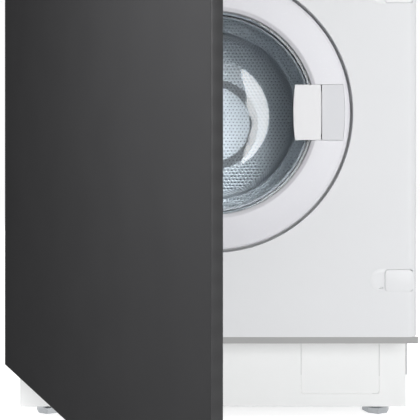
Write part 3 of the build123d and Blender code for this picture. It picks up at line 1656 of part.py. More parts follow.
with BuildPart() as door_handle:
    paddle = handle_outline(
        facing(handle_front), handle_left + handle_bow, paddle_right, handle_height, handle_bow, flat_bow
    )
    extrude(paddle, amount=-paddle_thickness)
    lip = handle_outline(
        facing(paddle_back),
        handle_left + handle_bow,
        handle_left + handle_bow + paddle_lip,
        handle_height,
        handle_bow,
        flat_bow,
    )
    extrude(lip, amount=-paddle_lip)
    web = box_on(
        facing(paddle_back),
        web_left,
        paddle_right - split_gap,
        porthole_height - barrel_half,
        porthole_height + barrel_half,
    )
    extrude(web, amount=-(tail_rear - paddle_back))
    with BuildSketch(level(porthole_height - barrel_half)):
        with Locations(((web_left + handle_pivot_x) / 2, (web_front + tail_rear) / 2)):
            Rectangle(handle_pivot_x - web_left, tail_rear - web_front)
        with Locations(pivot_point):
            Circle(handle_barrel_radius)
    extrude(amount=2 * barrel_half)
    tail = box_on(
        facing(tail_front),
        handle_pivot_x,
        hook_x + hook_width / 2,
        porthole_height - tail_height / 2,
        porthole_height + tail_height / 2,
    )
    extrude(tail, amount=-(tail_rear - tail_front))
    hook = box_on(
        facing(tail_front),
        hook_x - hook_width / 2,
        hook_x + hook_width / 2,
        porthole_height - hook_half,
        porthole_height + hook_half,
    )
    extrude(hook, amount=-(hook_reach - tail_front))
    nose = box_on(
        facing(hook_reach - nose_depth),
        hook_x,
        hook_x + hook_width / 2 + nose_reach,
        porthole_height - hook_half,
        porthole_height + hook_half,
    )
    extrude(nose, amount=-nose_depth)
    with BuildSketch(level(porthole_height - barrel_half)):
        with Locations(pivot_point):
            RegularPolygon(handle_pin_radius + running_gap, fine_facets, major_radius=False)
    extrude(amount=2 * barrel_half, mode=Mode.SUBTRACT)
save(door_handle, "door_handle")

# Handle cover: fixed plate right of the lever, with the lugs and pin of its pivot
cover_step = 0.6
cover_front = handle_front + cover_step
cover_plate = 2.1
cover_left = handle_split + split_gap / 2
cover_skirt = 1.8
cover_depth = glass_seat - 2 * body_gap
lug_low = barrel_half + body_gap
lug_high = barrel_half + 4.0

with BuildPart() as handle_cover:
    cover = handle_outline(
        facing(cover_front), cover_left, handle_right - handle_bow, handle_height, flat_bow, handle_bow
    )
    extrude(cover, amount=-cover_plate)
    for side in (-1, 1):
        skirt = box_on(
            facing(cover_front),
            cover_left,
            handle_right - handle_bow,
            porthole_height + side * (handle_height - cover_skirt) / 2 - cover_skirt / 2,
            porthole_height + side * (handle_height - cover_skirt) / 2 + cover_skirt / 2,
        )
        extrude(skirt, amount=-(cover_depth - cover_front))
        lug = box_on(
            facing(cover_front),
            cover_left,
            handle_pivot_x + handle_barrel_radius + pocket_gap,
            porthole_height + side * (lug_low + lug_high) / 2 - (lug_high - lug_low) / 2,
            porthole_height + side * (lug_low + lug_high) / 2 + (lug_high - lug_low) / 2,
        )
        extrude(lug, amount=-(tail_rear - cover_front))
    with BuildSketch(level(porthole_height - lug_high)):
        with Locations(pivot_point):
            Circle(handle_pin_radius)
    extrude(amount=2 * lug_high)
save(handle_cover, "handle_cover")

# Caps over the unused hinge seats: a plate with one arched end and two legs into the pocket
cap_proud = 1.9
cap_plate = 1.6
cap_arch = 14.0
cap_corner = 4.0
cap_leg = 2.0
cap_leg_depth = 7.0
cap_leg_inset = 4.0

with BuildPart() as hinge_caps:
    for x, z in capped_seats:
        left = x - seat_width / 2
        right = x + seat_width / 2
        low = z - seat_height / 2
        high = z + seat_height / 2
        with BuildSketch(facing(-cap_proud)) as cap_outline:
            with BuildLine():
                Line((left + cap_arch, low), (right, low))
                Line((right, low), (right, high))
                Line((right, high), (left + cap_arch, high))
                ThreePointArc((left + cap_arch, high), (left, z), (left + cap_arch, low))
            make_face()
            fillet(cap_outline.vertices().group_by(Axis.X)[-1], cap_corner)
        extrude(amount=-cap_plate)
        for leg_x in (x - seat_screw_offset, x + seat_screw_offset):
            leg = box_on(
                facing(cap_plate - cap_proud),
                leg_x - cap_leg,
                leg_x + cap_leg,
                low + cap_leg_inset,
                high - cap_leg_inset,
            )
            extrude(leg, amount=-(cap_leg_depth - cap_plate + cap_proud))
save(hinge_caps, "hinge_caps")

# Furniture hinges, machine side: base plate in the pocket, cranked arm and the pin
arm_half = 4.6
arm_thickness = 2.4
arm_eye_radius = 3.2
pin_half = 8.2
base_plate = 3.0
base_width = 54.0
base_height = 26.0
arm_steps = ((0, 0), (18.0, 2.9), (26.0, 8.0), (29.0, 17.0))
arm_route = [(panel_pin_x + x, panel_pin_y + y) for x, y in arm_steps]
plate_front = seat_depth - base_plate - body_gap

with BuildPart() as hinge_arms:
    for x, z in used_seats:
        with BuildSketch(level(z - arm_half)):
            with BuildLine():
                Polyline(*arm_route)
            trace(line_width=arm_thickness)
            with Locations((panel_pin_x, panel_pin_y)):
                RegularPolygon(arm_eye_radius, fine_facets)
        extrude(amount=2 * arm_half)
        with BuildSketch(facing(plate_front)):
            with Locations((x, z)):
                cut_rectangle(base_width, base_height, seat_corner)
        extrude(amount=-base_plate)
        with BuildSketch(level(z - pin_half)):
            with Locations((panel_pin_x, panel_pin_y)):
                Circle(panel_pin_radius)
        extrude(amount=2 * pin_half)
save(hinge_arms, "hinge_arms")

# Furniture door: its own plane lies at the photographed angle, local Y points at the machine
panel_frame = Plane(
    origin=(panel_pin_x, panel_pin_y, 0),
    x_dir=(cos(radians(panel_angle)), -sin(radians(panel_angle)), 0),
    z_dir=(0, 0, 1),
)
panel_left = -half_width - panel_pin_x
panel_back = -panel_gap - panel_pin_y
cup_x = panel_left + cup_edge_distance
cup_hole_gap = 0.1


def behind_panel(depth):
    """Upright plane of the furniture door at a local depth, seen from the room side."""
    origin = panel_frame.from_local_coords(Vector(0, depth, 0))
    return Plane(origin=origin, x_dir=panel_frame.x_dir, z_dir=-panel_frame.y_dir)


with BuildPart() as furniture_panel:
    front_face = box_on(
        behind_panel(panel_back - panel_thickness),
        panel_left,
        panel_left + panel_width,
        panel_bottom,
        panel_bottom + panel_height,
    )
    extrude(front_face, amount=-panel_thickness)
    with BuildSketch(behind_panel(panel_back)):
        with Locations(*[(cup_x, z) for z in seat_heights]):
            Circle(cup_radius + cup_hole_gap)
    extrude(amount=cup_depth + cup_hole_gap, mode=Mode.SUBTRACT)
save(furniture_panel, "furniture_panel")

# Hinge cups: pressed cups with a screw flange and the two ears that hold the pin
flange_thickness = 1.4
flange_half_height = 27.0
flange_width = 15.0
ear_low = arm_half + 2 * body_gap
ear_high = pin_half + 0.2
ear_half = 2.6
ear_drop = 0.6
cup_facets = 16

with BuildPart() as hinge_cups:
    for z in seat_heights:
        with BuildSketch(behind_panel(panel_back + flange_thickness + cup_hole_gap)):
            with Locations((cup_x, z)):
                RegularPolygon(cup_radius + cup_wall, cup_facets)
                Rectangle(flange_width, 2 * flange_half_height)
        extrude(amount=flange_thickness)
        with BuildSketch(behind_panel(panel_back + cup_hole_gap)):
            with Locations((cup_x, z)):
                RegularPolygon(cup_radius, cup_facets)
        extrude(amount=cup_depth)
        with BuildSketch(behind_panel(panel_back + flange_thickness + cup_hole_gap)):
            with Locations((cup_x, z)):
                RegularPolygon(cup_radius - cup_wall, cup_facets)
        extrude(amount=cup_depth + flange_thickness - cup_wall, mode=Mode.SUBTRACT)
        for side in (-1, 1):
            ear = box_on(
                behind_panel(panel_back - cup_depth + cup_wall),
                -ear_half,
                ear_half,
                z + side * (ear_low + ear_high) / 2 - (ear_high - ear_low) / 2,
                z + side * (ear_low + ear_high) / 2 + (ear_high - ear_low) / 2,
            )
            extrude(ear, amount=-(cup_depth - cup_wall - ear_drop))
        with BuildSketch(panel_frame.offset(z - pin_half - running_gap)):
            RegularPolygon(panel_pin_radius + running_gap, fine_facets, major_radius=False)
        extrude(amount=2 * pin_half + 2 * running_gap, mode=Mode.SUBTRACT)
save(hinge_cups, "hinge_cups")

# Magnet catch on the white front and the striker plate on the furniture door
magnet_edge = 21.5
magnet_x = half_width - magnet_edge
magnet_height = front_top - 22.0
magnet_width = 24.0
magnet_length = 14.0
magnet_proud = 5.4
magnet_edge_cut = 1.0
striker_thickness = 1.4
striker_size = 26.0

with BuildPart() as magnet_catch:
    with BuildSketch(facing(-magnet_proud)):
        with Locations((magnet_x - magnet_width / 2, magnet_height)):
            Rectangle(magnet_width, magnet_length)
    extrude(amount=-(magnet_proud - body_gap))
    chamfer(magnet_catch.edges().group_by(Axis.Y)[0], magnet_edge_cut)
save(magnet_catch, "magnet_catch")

with BuildPart() as striker_plate:
    with BuildSketch(behind_panel(panel_back + body_gap + striker_thickness)):
        with Locations((magnet_x - magnet_width / 2 - panel_pin_x, magnet_height)):
            Rectangle(striker_size, striker_size)
    extrude(amount=striker_thickness)
save(striker_plate, "striker_plate")
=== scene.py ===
import json
from math import cos, pi, radians, sin, tan

import bpy
from mathutils import Matrix, Vector


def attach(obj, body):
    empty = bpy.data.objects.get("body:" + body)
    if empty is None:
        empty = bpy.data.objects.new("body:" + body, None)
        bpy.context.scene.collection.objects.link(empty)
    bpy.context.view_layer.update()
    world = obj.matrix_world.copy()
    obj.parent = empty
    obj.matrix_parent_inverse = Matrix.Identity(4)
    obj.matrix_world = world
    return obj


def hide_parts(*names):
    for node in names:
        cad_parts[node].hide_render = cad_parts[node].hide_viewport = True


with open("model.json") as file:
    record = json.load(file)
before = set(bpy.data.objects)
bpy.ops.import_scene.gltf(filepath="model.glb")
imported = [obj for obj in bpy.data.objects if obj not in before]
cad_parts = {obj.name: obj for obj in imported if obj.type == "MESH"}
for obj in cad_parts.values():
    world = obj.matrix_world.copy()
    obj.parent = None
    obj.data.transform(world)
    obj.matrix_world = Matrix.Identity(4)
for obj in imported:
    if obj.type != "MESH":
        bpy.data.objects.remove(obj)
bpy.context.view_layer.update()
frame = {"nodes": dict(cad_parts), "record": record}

bpy.ops.object.select_all(action="DESELECT")

# The view. The machine is seen square on from about a metre, a little below its middle, with the
# furniture door standing open towards the eye. Nothing is tilted, so all uprights stay parallel.
mm = 0.001
eye = (-0.4 * mm, -1069.6 * mm, 389.6 * mm)
bpy.ops.object.camera_add(location=eye, rotation=(pi / 2, 0, 0))
camera = bpy.context.object
camera.name = "camera"
camera.data.lens = 63.54
camera.data.sensor_width = 36.0
camera.data.shift_x = -0.0062
camera.data.shift_y = -0.1157
bpy.context.scene.camera = camera
bpy.context.scene.view_settings.view_transform = "Standard"

# The studio: a pale seamless floor, a pale sky, three large soft lamps and a slim one before the glass.
# Sky and floor are plain white to the eye and in what mirrors or lets it through, and a soft grey light.
floor_colour = "#F4F4F4"
sky_light = 0.31
floor_lift = 0.7


def linear(code):
    """A colour given as sRGB hex, in the linear values that shaders take."""
    parts = [int(code[i:i + 2], 16) / 255 for i in (1, 3, 5)]
    return [p / 12.92 if p <= 0.04045 else ((p + 0.055) / 1.055) ** 2.4 for p in parts] + [1.0]


def add_node(tree, kind, inputs=None, **settings):
    """One node with its settings; an input takes a value or the output that feeds it."""
    made = tree.nodes.new("ShaderNode" + kind)
    for name, value in settings.items():
        setattr(made, name, value)
    for name, value in (inputs or {}).items():
        if isinstance(value, bpy.types.NodeSocket):
            tree.links.new(value, made.inputs[name])
        else:
            made.inputs[name].default_value = value
    return made


def seen_directly(tree):
    """1 for what the eye sees straight, mirrored or through glass."""
    path = add_node(tree, "LightPath").outputs
    either = {0: path["Is Camera Ray"], 1: path["Is Glossy Ray"]}
    straight = add_node(tree, "Math", either, operation="MAXIMUM")
    through = {0: straight.outputs[0], 1: path["Is Transmission Ray"]}
    return add_node(tree, "Math", through, operation="MAXIMUM").outputs[0]


sky = bpy.data.worlds.new("studio_sky")
bpy.context.scene.world = sky
sky.use_nodes = True
tree = sky.node_tree
tree.nodes.clear()
strength = add_node(tree, "MapRange", {"Value": seen_directly(tree), "To Min": sky_light, "To Max": 1.0})
glow = add_node(tree, "Background", {"Color": (1, 1, 1, 1), "Strength": strength.outputs[0]})
add_node(tree, "OutputWorld", {"Surface": glow.outputs[0]})

bpy.ops.mesh.primitive_plane_add(size=16.0, location=(0, 2.0, -0.5 * mm))
floor = bpy.context.object
floor.name = "studio_floor"
floor_paint = bpy.data.materials.new("seamless_studio_paper")
floor_paint.use_nodes = True
tree = floor_paint.node_tree
tree.nodes.clear()
paper = add_node(tree, "BsdfDiffuse", {"Color": linear(floor_colour)})
lift = add_node(tree, "MapRange", {"Value": seen_directly(tree), "To Min": 0.0, "To Max": floor_lift})
lifted = add_node(tree, "Emission", {"Color": (1, 1, 1, 1), "Strength": lift.outputs[0]})
both = add_node(tree, "AddShader", {0: paper.outputs[0], 1: lifted.outputs[0]})
add_node(tree, "OutputMaterial", {"Surface": both.outputs[0]})
floor.data.materials.append(floor_paint)

# Each lamp: its place, what it is aimed at, its width and height in metres and its power in watts.
lamps = (
    ("key_softbox", (0.85, -2.9, 0.74), (0.05, 0.0, 0.36), 1.6, 2.0, 69.0),
    ("door_softbox", (-0.24, -0.76, 0.66), (-0.1, -0.35, 0.45), 0.16, 0.5, 3.8),
    ("left_softbox", (-1.1, 3.0, 1.5), (0.0, 0.3, 0.4), 1.4, 1.4, 26.0),
    ("right_softbox", (1.3, 2.9, 1.9), (0.0, 0.3, 0.4), 1.6, 1.6, 30.0),
)
for name, place, aim, width, height, power in lamps:
    turn = (Vector(aim) - Vector(place)).to_track_quat("-Z", "Y").to_euler()
    bpy.ops.object.light_add(type="AREA", location=place, rotation=turn)
    lamp = bpy.context.object
    lamp.name = name
    lamp.data.shape = "RECTANGLE"
    lamp.data.size = width
    lamp.data.size_y = height
    lamp.data.energy = power
    lamp.visible_camera = False

# Base tray: one large moulding that carries the whole machine. Cabinet, dampers and pump are screwed
# to it. Like most pieces here it keeps the solid's shape, with its sharp edges eased.
slots = {part["node"]: part["material_slot"] for part in frame["record"]["subparts"]}


def apply_modifier(piece, kind, **settings):
    """Adds a modifier, sets it and applies it."""
    bpy.context.view_layer.objects.active = piece
    made = piece.modifiers.new(kind.lower(), kind)
    for name, value in settings.items():
        setattr(made, name, value)
    bpy.ops.object.modifier_apply(modifier=made.name)


def settle(piece, turned=None, smooth=30):
    """Puts a piece in its final place, with its shading smooth up to an angle."""
    bpy.ops.object.select_all(action="DESELECT")
    piece.select_set(True)
    bpy.context.view_layer.objects.active = piece
    if turned is not None:
        piece.data.transform(turned)
    bpy.ops.object.shade_smooth_by_angle(angle=radians(smooth))
    return piece


def fit(piece, body, finish, slot, *nodes):
    """Finish, body, material slot (not used) and the plain solids that the piece stands for."""
    piece.data.materials.clear()
    piece.data.materials.append(finish)
    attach(piece, body)
    if nodes:
        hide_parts(*nodes)
    piece.select_set(False)


def eased(body, width, finish, **pieces):
    """Copies of plain solids, merged, with their sharp edges broken by a small round."""
    for node, name in pieces.items():
        piece = bpy.data.objects.new(name, frame["nodes"][node].data.copy())
        bpy.context.collection.objects.link(piece)
        bpy.ops.object.select_all(action="DESELECT")
        piece.select_set(True)
        bpy.context.view_layer.objects.active = piece
        bpy.ops.object.mode_set(mode="EDIT")
        bpy.ops.mesh.select_mode(type="VERT")
        bpy.ops.mesh.select_all(action="SELECT")
        bpy.ops.mesh.remove_doubles(threshold=0.002 * mm)
        bpy.ops.mesh.dissolve_limited(angle_limit=radians(0.5))
        bpy.ops.object.mode_set(mode="OBJECT")
        apply_modifier(piece, "BEVEL", width=width * mm, segments=2, limit_method="ANGLE", angle_limit=radians(35))
        settle(piece, smooth=40)
        apply_modifier(piece, "WEIGHTED_NORMAL", keep_sharp=True, weight=60)
        fit(piece, body, finish, slots[node], node)


def start_finish(name):
    """A new material, with the place on the piece in metres."""
    made = bpy.data.materials.new(name)
    made.use_nodes = True
    made.node_tree.nodes.clear()
    return made, made.node_tree, add_node(made.node_tree, "TexCoord").outputs["Object"]


def painted(name, colour, shade, roughness, peel=0.0025, depth=0.00004, level=0.4):
    """Coated sheet or moulding: two near tones in clouds of 120 mm, and a fine skin of the given size."""
    made, tree, place = start_finish(name)
    clouds = add_node(tree, "TexNoise", {"Vector": place, "Scale": 1 / 0.12, "Detail": 2.0})
    tones = {0: clouds.outputs["Fac"], 6: linear(colour), 7: linear(shade)}
    tone = add_node(tree, "Mix", tones, data_type="RGBA")
    skin = add_node(tree, "TexNoise", {"Vector": place, "Scale": 1 / peel, "Detail": 2.0})
    bump = add_node(tree, "Bump", {"Height": skin.outputs["Fac"], "Distance": depth, "Strength": 0.5})
    spread = {"Value": skin.outputs["Fac"], "To Min": roughness - 0.05, "To Max": roughness + 0.05}
    gloss = add_node(tree, "MapRange", spread)
    coat = add_node(tree, "BsdfPrincipled", {
        "Base Color": tone.outputs[2], "Roughness": gloss.outputs[0], "Normal": bump.outputs[0], "IOR": 1.5,
        "Specular IOR Level": level,
    })
    add_node(tree, "OutputMaterial", {"Surface": coat.outputs[0]})
    return made


# Glass-filled polypropylene: pale grey and matt, its short fibres showing as a rough skin of 2 mm.
filled_polymer = painted("glass_filled_polypropylene", "#C9CBCE", "#C3C5C8", 0.6, 0.002, 0.0001)
eased("machine", 1.2, filled_polymer, base_tray="base_tray_moulding")

# Levelling feet: four zinc-plated steel feet, each a threaded stem with a round pad, screwed up into
# the tray's corners and turned until the machine stands true.


def bare_metal(name, colour, shade, roughness, grain, stretch, depth):
    """Bare metal: two near tones along a grain of the given size, stretched the way it was worked."""
    made, tree, place = start_finish(name)
    drawn = add_node(tree, "Mapping", {"Vector": place, "Scale": stretch})
    lines = add_node(tree, "TexNoise", {"Vector": drawn.outputs[0], "Scale": 1 / grain, "Detail": 3.0})
    tones = {0: lines.outputs["Fac"], 6: linear(colour), 7: linear(shade)}
    tone = add_node(tree, "Mix", tones, data_type="RGBA")
    spread = {"Value": lines.outputs["Fac"], "To Min": roughness - 0.08, "To Max": roughness + 0.08}
    gloss = add_node(tree, "MapRange", spread)
    bump = add_node(tree, "Bump", {"Height": lines.outputs["Fac"], "Distance": depth, "Strength": 0.5})
    metal = add_node(tree, "BsdfPrincipled", {
        "Base Color": tone.outputs[2], "Metallic": 1.0, "Roughness": gloss.outputs[0], "Normal": bump.outputs[0],
    })
    add_node(tree, "OutputMaterial", {"Surface": metal.outputs[0]})
    return made


# Bright zinc plate on turned steel: a cool grey with tool marks of 3 mm.
zinc_plate = bare_metal("zinc_plated_foot", "#B2B5B8", "#9EA1A4", 0.38, 0.003, (1, 1, 1), 0.00003)
eased("machine", 0.5, zinc_plate, leveling_feet="adjustable_feet")

# Front rail: a folded steel strip, coated grey, that closes the tray's front edge and shows as a thin
# grey line under the white front. The even coat is a mid grey with a fine peel.
grey_coat = painted("grey_powder_coat", "#A6A6A6", "#A0A0A0", 0.5)
eased("machine", 1.6, grey_coat, base_front_rail="front_foot_rail")

# Shock absorbers: two black cylinders with a sliding rod, pinned between tray and tub, which brake the
# tub's swing. Moulded polyamide is near black, with a soft skin of 1.5 mm.
black_polyamide = painted("black_polyamide", "#2B2C2E", "#313234", 0.45, 0.0015, 0.00008)
eased("machine", 1.5, black_polyamide, shock_absorbers="damper_legs")

# Tub: a ribbed moulding in two welded halves with the bearing hub in its back, hung on springs. Talc
# makes the polypropylene stiff, and gives it a chalky pale grey.
tub_polymer = painted("talc_filled_polypropylene", "#BFC2C4", "#B8BBBD", 0.55, 0.003, 0.0001)
eased("machine", 1.5, tub_polymer, tub="wash_tub")

# Counterweights: two blocks of cast concrete bolted to the tub, one on top and one round its mouth, so
# that the spinning laundry moves it less. Grit of 6 mm and pores make the grey uneven.
concrete = painted("cast_concrete", "#A7A49F", "#8F8D88", 0.9, 0.006, 0.0008)
eased("machine", 3.0, concrete, front_counterweight="front_weight", top_counterweight="top_weight")

# Drum shell: rolled stainless sheet with rows of drawn holes, seamed to a drawn front and back, with
# three hollow lifters riveted inside that carry the laundry up.
drum_height = 460.0 * mm


def rounded(points, steps=4):
    """Closed outline whose corners, given as (a, b, radius), are rounded by short arcs."""
    made = []
    for i, (a, b, radius) in enumerate(points):
        here = Vector((a, b))
        before = (Vector(points[i - 1][:2]) - here).normalized()
        after = (Vector(points[(i + 1) % len(points)][:2]) - here).normalized()
        if radius == 0:
            made.append((a, b))
            continue
        half = before.angle(after) / 2
        middle = here + (before + after).normalized() * radius / sin(half)
        first = here + before * radius / tan(half) - middle
        last = here + after * radius / tan(half) - middle
        for k in range(steps + 1):
            made.append(tuple(middle + first.normalized().slerp(last.normalized(), k / steps) * radius))
    return made


def turn_profile(name, outline, steps=128):
    """Outline of radius and depth in mm, drawn point by point and spun about the drum's axis."""
    points = [Vector((radius * mm, depth * mm, drum_height)) for radius, depth in outline]
    bpy.ops.mesh.primitive_plane_add(size=mm, location=points[0])
    piece = bpy.context.object
    piece.name = name
    bpy.ops.object.transform_apply(location=True)
    bpy.ops.object.mode_set(mode="EDIT")
    bpy.ops.mesh.select_mode(type="VERT")
    bpy.ops.mesh.merge(type="CENTER")
    for before, after in zip(points, points[1:] + points[:1]):
        bpy.ops.mesh.extrude_region_move(TRANSFORM_OT_translate={"value": after - before})
    bpy.ops.mesh.select_all(action="SELECT")
    bpy.ops.mesh.spin(steps=steps, angle=2 * pi, center=(0, 0, drum_height), axis=(0, 1, 0))
    bpy.ops.mesh.select_all(action="SELECT")
    bpy.ops.mesh.remove_doubles(threshold=0.01 * mm)
    bpy.ops.mesh.normals_make_consistent(inside=False)
    bpy.ops.object.mode_set(mode="OBJECT")
    return piece


# Perforated stainless steel: bright satin sheet. Holes of 2.5 mm stand 7 mm apart in staggered rows
# 6 mm apart, each a spot of painted shade in its own shallow dimple, round the wall and over the flat back.
hole_step = 0.007
row_step = 0.006
holes_round = 216
drum_steel, tree, place = start_finish("perforated_stainless_steel")
axes = add_node(tree, "SeparateXYZ", {0: place}).outputs
facing = add_node(tree, "SeparateXYZ", {0: add_node(tree, "TexCoord").outputs["Normal"]}).outputs
faces_back = add_node(tree, "Math", {0: facing["Y"]}, operation="ABSOLUTE")
flat_back = add_node(tree, "Math", {0: faces_back.outputs[0], 1: 0.6}, operation="GREATER_THAN")
rise = add_node(tree, "Math", {0: axes["Z"], 1: drum_height}, operation="SUBTRACT")
angle = add_node(tree, "Math", {0: rise.outputs[0], 1: axes["X"]}, operation="ARCTAN2")
round_column = add_node(tree, "Math", {0: angle.outputs[0], 1: holes_round / (2 * pi)}, operation="MULTIPLY")
round_row = add_node(tree, "Math", {0: axes["Y"], 1: 1 / row_step}, operation="MULTIPLY")
back_column = add_node(tree, "Math", {0: axes["X"], 1: 1 / hole_step}, operation="MULTIPLY")
back_row = add_node(tree, "Math", {0: rise.outputs[0], 1: 1 / row_step}, operation="MULTIPLY")
column = add_node(tree, "Mix", {0: flat_back.outputs[0], 2: round_column.outputs[0], 3: back_column.outputs[0]})
row = add_node(tree, "Mix", {0: flat_back.outputs[0], 2: round_row.outputs[0], 3: back_row.outputs[0]})
row_number = add_node(tree, "Math", {0: row.outputs[0]}, operation="FLOOR")
half_step = add_node(tree, "Math", {0: row_number.outputs[0], 1: 0.5}, operation="MULTIPLY")
staggered = add_node(tree, "Math", {0: column.outputs[0], 1: half_step.outputs[0]}, operation="ADD")
across = add_node(tree, "Math", {0: staggered.outputs[0]}, operation="FRACT")
along = add_node(tree, "Math", {0: row.outputs[0]}, operation="FRACT")
across_mid = add_node(tree, "Math", {0: across.outputs[0], 1: 0.5}, operation="SUBTRACT")
along_mid = add_node(tree, "Math", {0: along.outputs[0], 1: 0.5}, operation="SUBTRACT")
spot = add_node(tree, "CombineXYZ", {0: across_mid.outputs[0], 1: along_mid.outputs[0]})
reach = add_node(tree, "VectorMath", {0: spot.outputs[0]}, operation="LENGTH").outputs["Value"]
hole_shade_mask = add_node(tree, "MapRange", {"Value": reach, "From Min": 0.13, "From Max": 0.2, "To Min": 1.0, "To Max": 0.0})
dimple = add_node(tree, "MapRange", {"Value": reach, "From Min": 0.15, "From Max": 0.48})
# Painted shade: each hole is a darker grey spot on the sheet, not an opening.
tone = add_node(tree, "Mix", {0: hole_shade_mask.outputs[0], 6: linear("#E2E5E9"), 7: linear("#94989F")}, data_type="RGBA")
dent = add_node(tree, "Bump", {"Height": dimple.outputs[0], "Distance": 0.0006, "Strength": 0.7})
sheen = add_node(tree, "MapRange", {"Value": hole_shade_mask.outputs[0], "To Min": 0.42, "To Max": 0.8})
steel_sheet = add_node(tree, "BsdfPrincipled", {
    "Base Color": tone.outputs[2], "Metallic": 0.75, "Roughness": sheen.outputs[0], "Normal": dent.outputs[0],
})
add_node(tree, "OutputMaterial", {"Surface": steel_sheet.outputs[0]})

drum_radius = 240.0
drum_mouth = 168.0
drum_front = 76.0
drum_back = 340.0
wall = 1.2
shell = turn_profile("drum_shell_sheet", rounded([
    (drum_mouth, 77.5, 0), (drum_mouth, drum_front, 0), (drum_radius, drum_front, 6.0),
    (drum_radius, drum_back, 6.0), (1.0, drum_back, 0), (1.0, 330.0, 0), (70.0, 330.0, 6.0),
    (86.0, 338.6, 6.0), (drum_radius - wall, 338.6, 5.0), (drum_radius - wall, 77.4, 5.0),
    (drum_mouth, 78.6, 0),
], 5))
fit(settle(shell), "drum", drum_steel, "drum_steel", "drum_shell")
eased("drum", 2.5, drum_steel, drum_lifters="lifter_ribs")

# Spider and pulley: a three-armed casting with its shaft, screwed to the drum's back, and the wheel that
# the belt drives. Die-cast aluminium has a dull grey skin of 2 mm.
cast_aluminium = bare_metal("die_cast_aluminium", "#A9ABAD", "#979A9C", 0.5, 0.002, (1, 1, 1), 0.0001)
eased("drum", 1.0, cast_aluminium, drum_shaft="drum_spider", drum_pulley="drum_pulley_wheel")

# Motor: a stack of steel laminations between two end shields, hung under the tub, dark and finely lined
# across the stack, with a small turned pulley on its shaft that is brighter.
laminations = bare_metal("motor_lamination_steel", "#6F7377", "#5E6266", 0.5, 0.0008, (1, 4, 1), 0.0001)
turned_steel = bare_metal("turned_steel", "#A5A8AC", "#8F9296", 0.35, 0.0008, (1, 1, 6), 0.00003)
eased("machine", 1.5, laminations, motor_body="motor_case")
eased("motor_rotor", 0.6, turned_steel, motor_pulley="motor_pulley_wheel")

# Heater: a bent tube of bright steel with a hot wire in powder inside, pushed through the tub's front
# low down, under the drum.
eased("machine", 0.5, turned_steel, heater_element="tube_heater")

# Drive belt: ribbed rubber belt with cord inside, from the motor's pulley to the drum's. Extruded
# rubber is a dull black grey.
hose_rubber = painted("extruded_hose_rubber", "#3C3E41", "#434548", 0.6, 0.002, 0.0001)
eased("machine", 0.5, hose_rubber, drive_belt="ribbed_belt")

# Suspension springs: steel wire of 3.2 mm wound in 17 close turns, with a straight tail to a hook at
# each end, hung between the crossbar and the tub's lugs.
spring_x = 205.0 * mm
spring_y = 245.0 * mm
spring_foot = 688.5 * mm
wire = 1.6 * mm
coil_radius = 12.2 * mm
coil_turns = 17
coil_pitch = 4.7 * mm
coil_height = coil_turns * coil_pitch
tail_down = 19 * mm
tail_up = 23 * mm
tail_lap = 0.8 * mm


def add_rod(name, radius, start, end, sides=32):
    """A round rod between two points, with its place in its mesh."""
    start, end = Vector(start), Vector(end)
    turn = (end - start).to_track_quat("Z", "Y").to_euler()
    bpy.ops.mesh.primitive_cylinder_add(
        vertices=sides, radius=radius, depth=(end - start).length, location=(start + end) / 2, rotation=turn
    )
    piece = bpy.context.object
    piece.name = name
    bpy.ops.object.transform_apply(location=True, rotation=True, scale=True)
    return piece


def joined(name, *pieces):
    """Several meshes made one."""
    bpy.ops.object.select_all(action="DESELECT")
    for piece in pieces:
        piece.select_set(True)
    bpy.context.view_layer.objects.active = pieces[0]
    bpy.ops.object.join()
    pieces[0].name = name
    return pieces[0]


bpy.ops.mesh.primitive_circle_add(vertices=8, radius=wire, location=(coil_radius, 0, 0), rotation=(pi / 2, 0, 0))
coil = bpy.context.object
bpy.ops.object.transform_apply(location=True, rotation=True)
apply_modifier(coil, "SCREW", axis="Z", screw_offset=coil_pitch, iterations=coil_turns, steps=20, render_steps=20)
bpy.ops.object.mode_set(mode="EDIT")
bpy.ops.mesh.select_mode(type="VERT")
bpy.ops.mesh.select_all(action="SELECT")
bpy.ops.mesh.remove_doubles(threshold=0.01 * mm)
bpy.ops.mesh.fill_holes(sides=8)
bpy.ops.mesh.normals_make_consistent(inside=False)
bpy.ops.object.mode_set(mode="OBJECT")
spring = joined(
    "tub_spring", coil,
    add_rod("tail", wire, (0, 0, -tail_down), (0, 0, tail_lap), 12),
    add_rod("tail", wire, (0, 0, coil_height - tail_lap), (0, 0, coil_height + tail_up), 12),
    add_rod("tail", wire, (0, 0, 0), (coil_radius, 0, 0), 12),
    add_rod("tail", wire, (0, 0, coil_height), (coil_radius, 0, coil_height), 12),
)
second = bpy.data.objects.new("tub_spring_right", spring.data.copy())
bpy.context.collection.objects.link(second)
spring.data.transform(Matrix.Translation((-spring_x, spring_y, spring_foot)))
second.data.transform(Matrix.Translation((spring_x, spring_y, spring_foot)))
fit(settle(joined("tub_springs", spring, second)), "machine", turned_steel, "steel_part", "suspension_springs")

# Crossbars: two folded bars of zinc-coated sheet across the top of the cabinet, which the springs hang
# from. Hot-dip zinc shows pale crystals about 18 mm across.
zinc_sheet = bare_metal("hot_dip_zinc_sheet", "#B4B8BB", "#9DA1A5", 0.42, 0.018, (1, 1, 1), 0.00002)
eased("machine", 0.5, zinc_sheet, top_crossbars="top_bars")

# Drain pump, its outlet nipple and the level switch: plain housings of grey polypropylene with a skin
# of 1.5 mm, screwed to the tray and to the back sheet.
grey_polymer = painted("grey_polypropylene", "#8F9296", "#898C90", 0.45, 0.0015, 0.00008)
eased("machine", 1.2, grey_polymer, drain_pump="drain_pump_case", drain_outlet="drain_nipple",
      pressure_switch="level_switch_case")

# Filter cap: a white knob with a strainer on its back, turned into the pump by a bayonet. Moulded ABS is
# a clean half-gloss white.
white_abs = painted("white_abs_moulding", "#E4E5E8", "#E1E2E5", 0.35, 0.0015, 0.00004)
eased("filter_cap", 1.0, white_abs, pump_filter_cap="filter_cap_moulding")

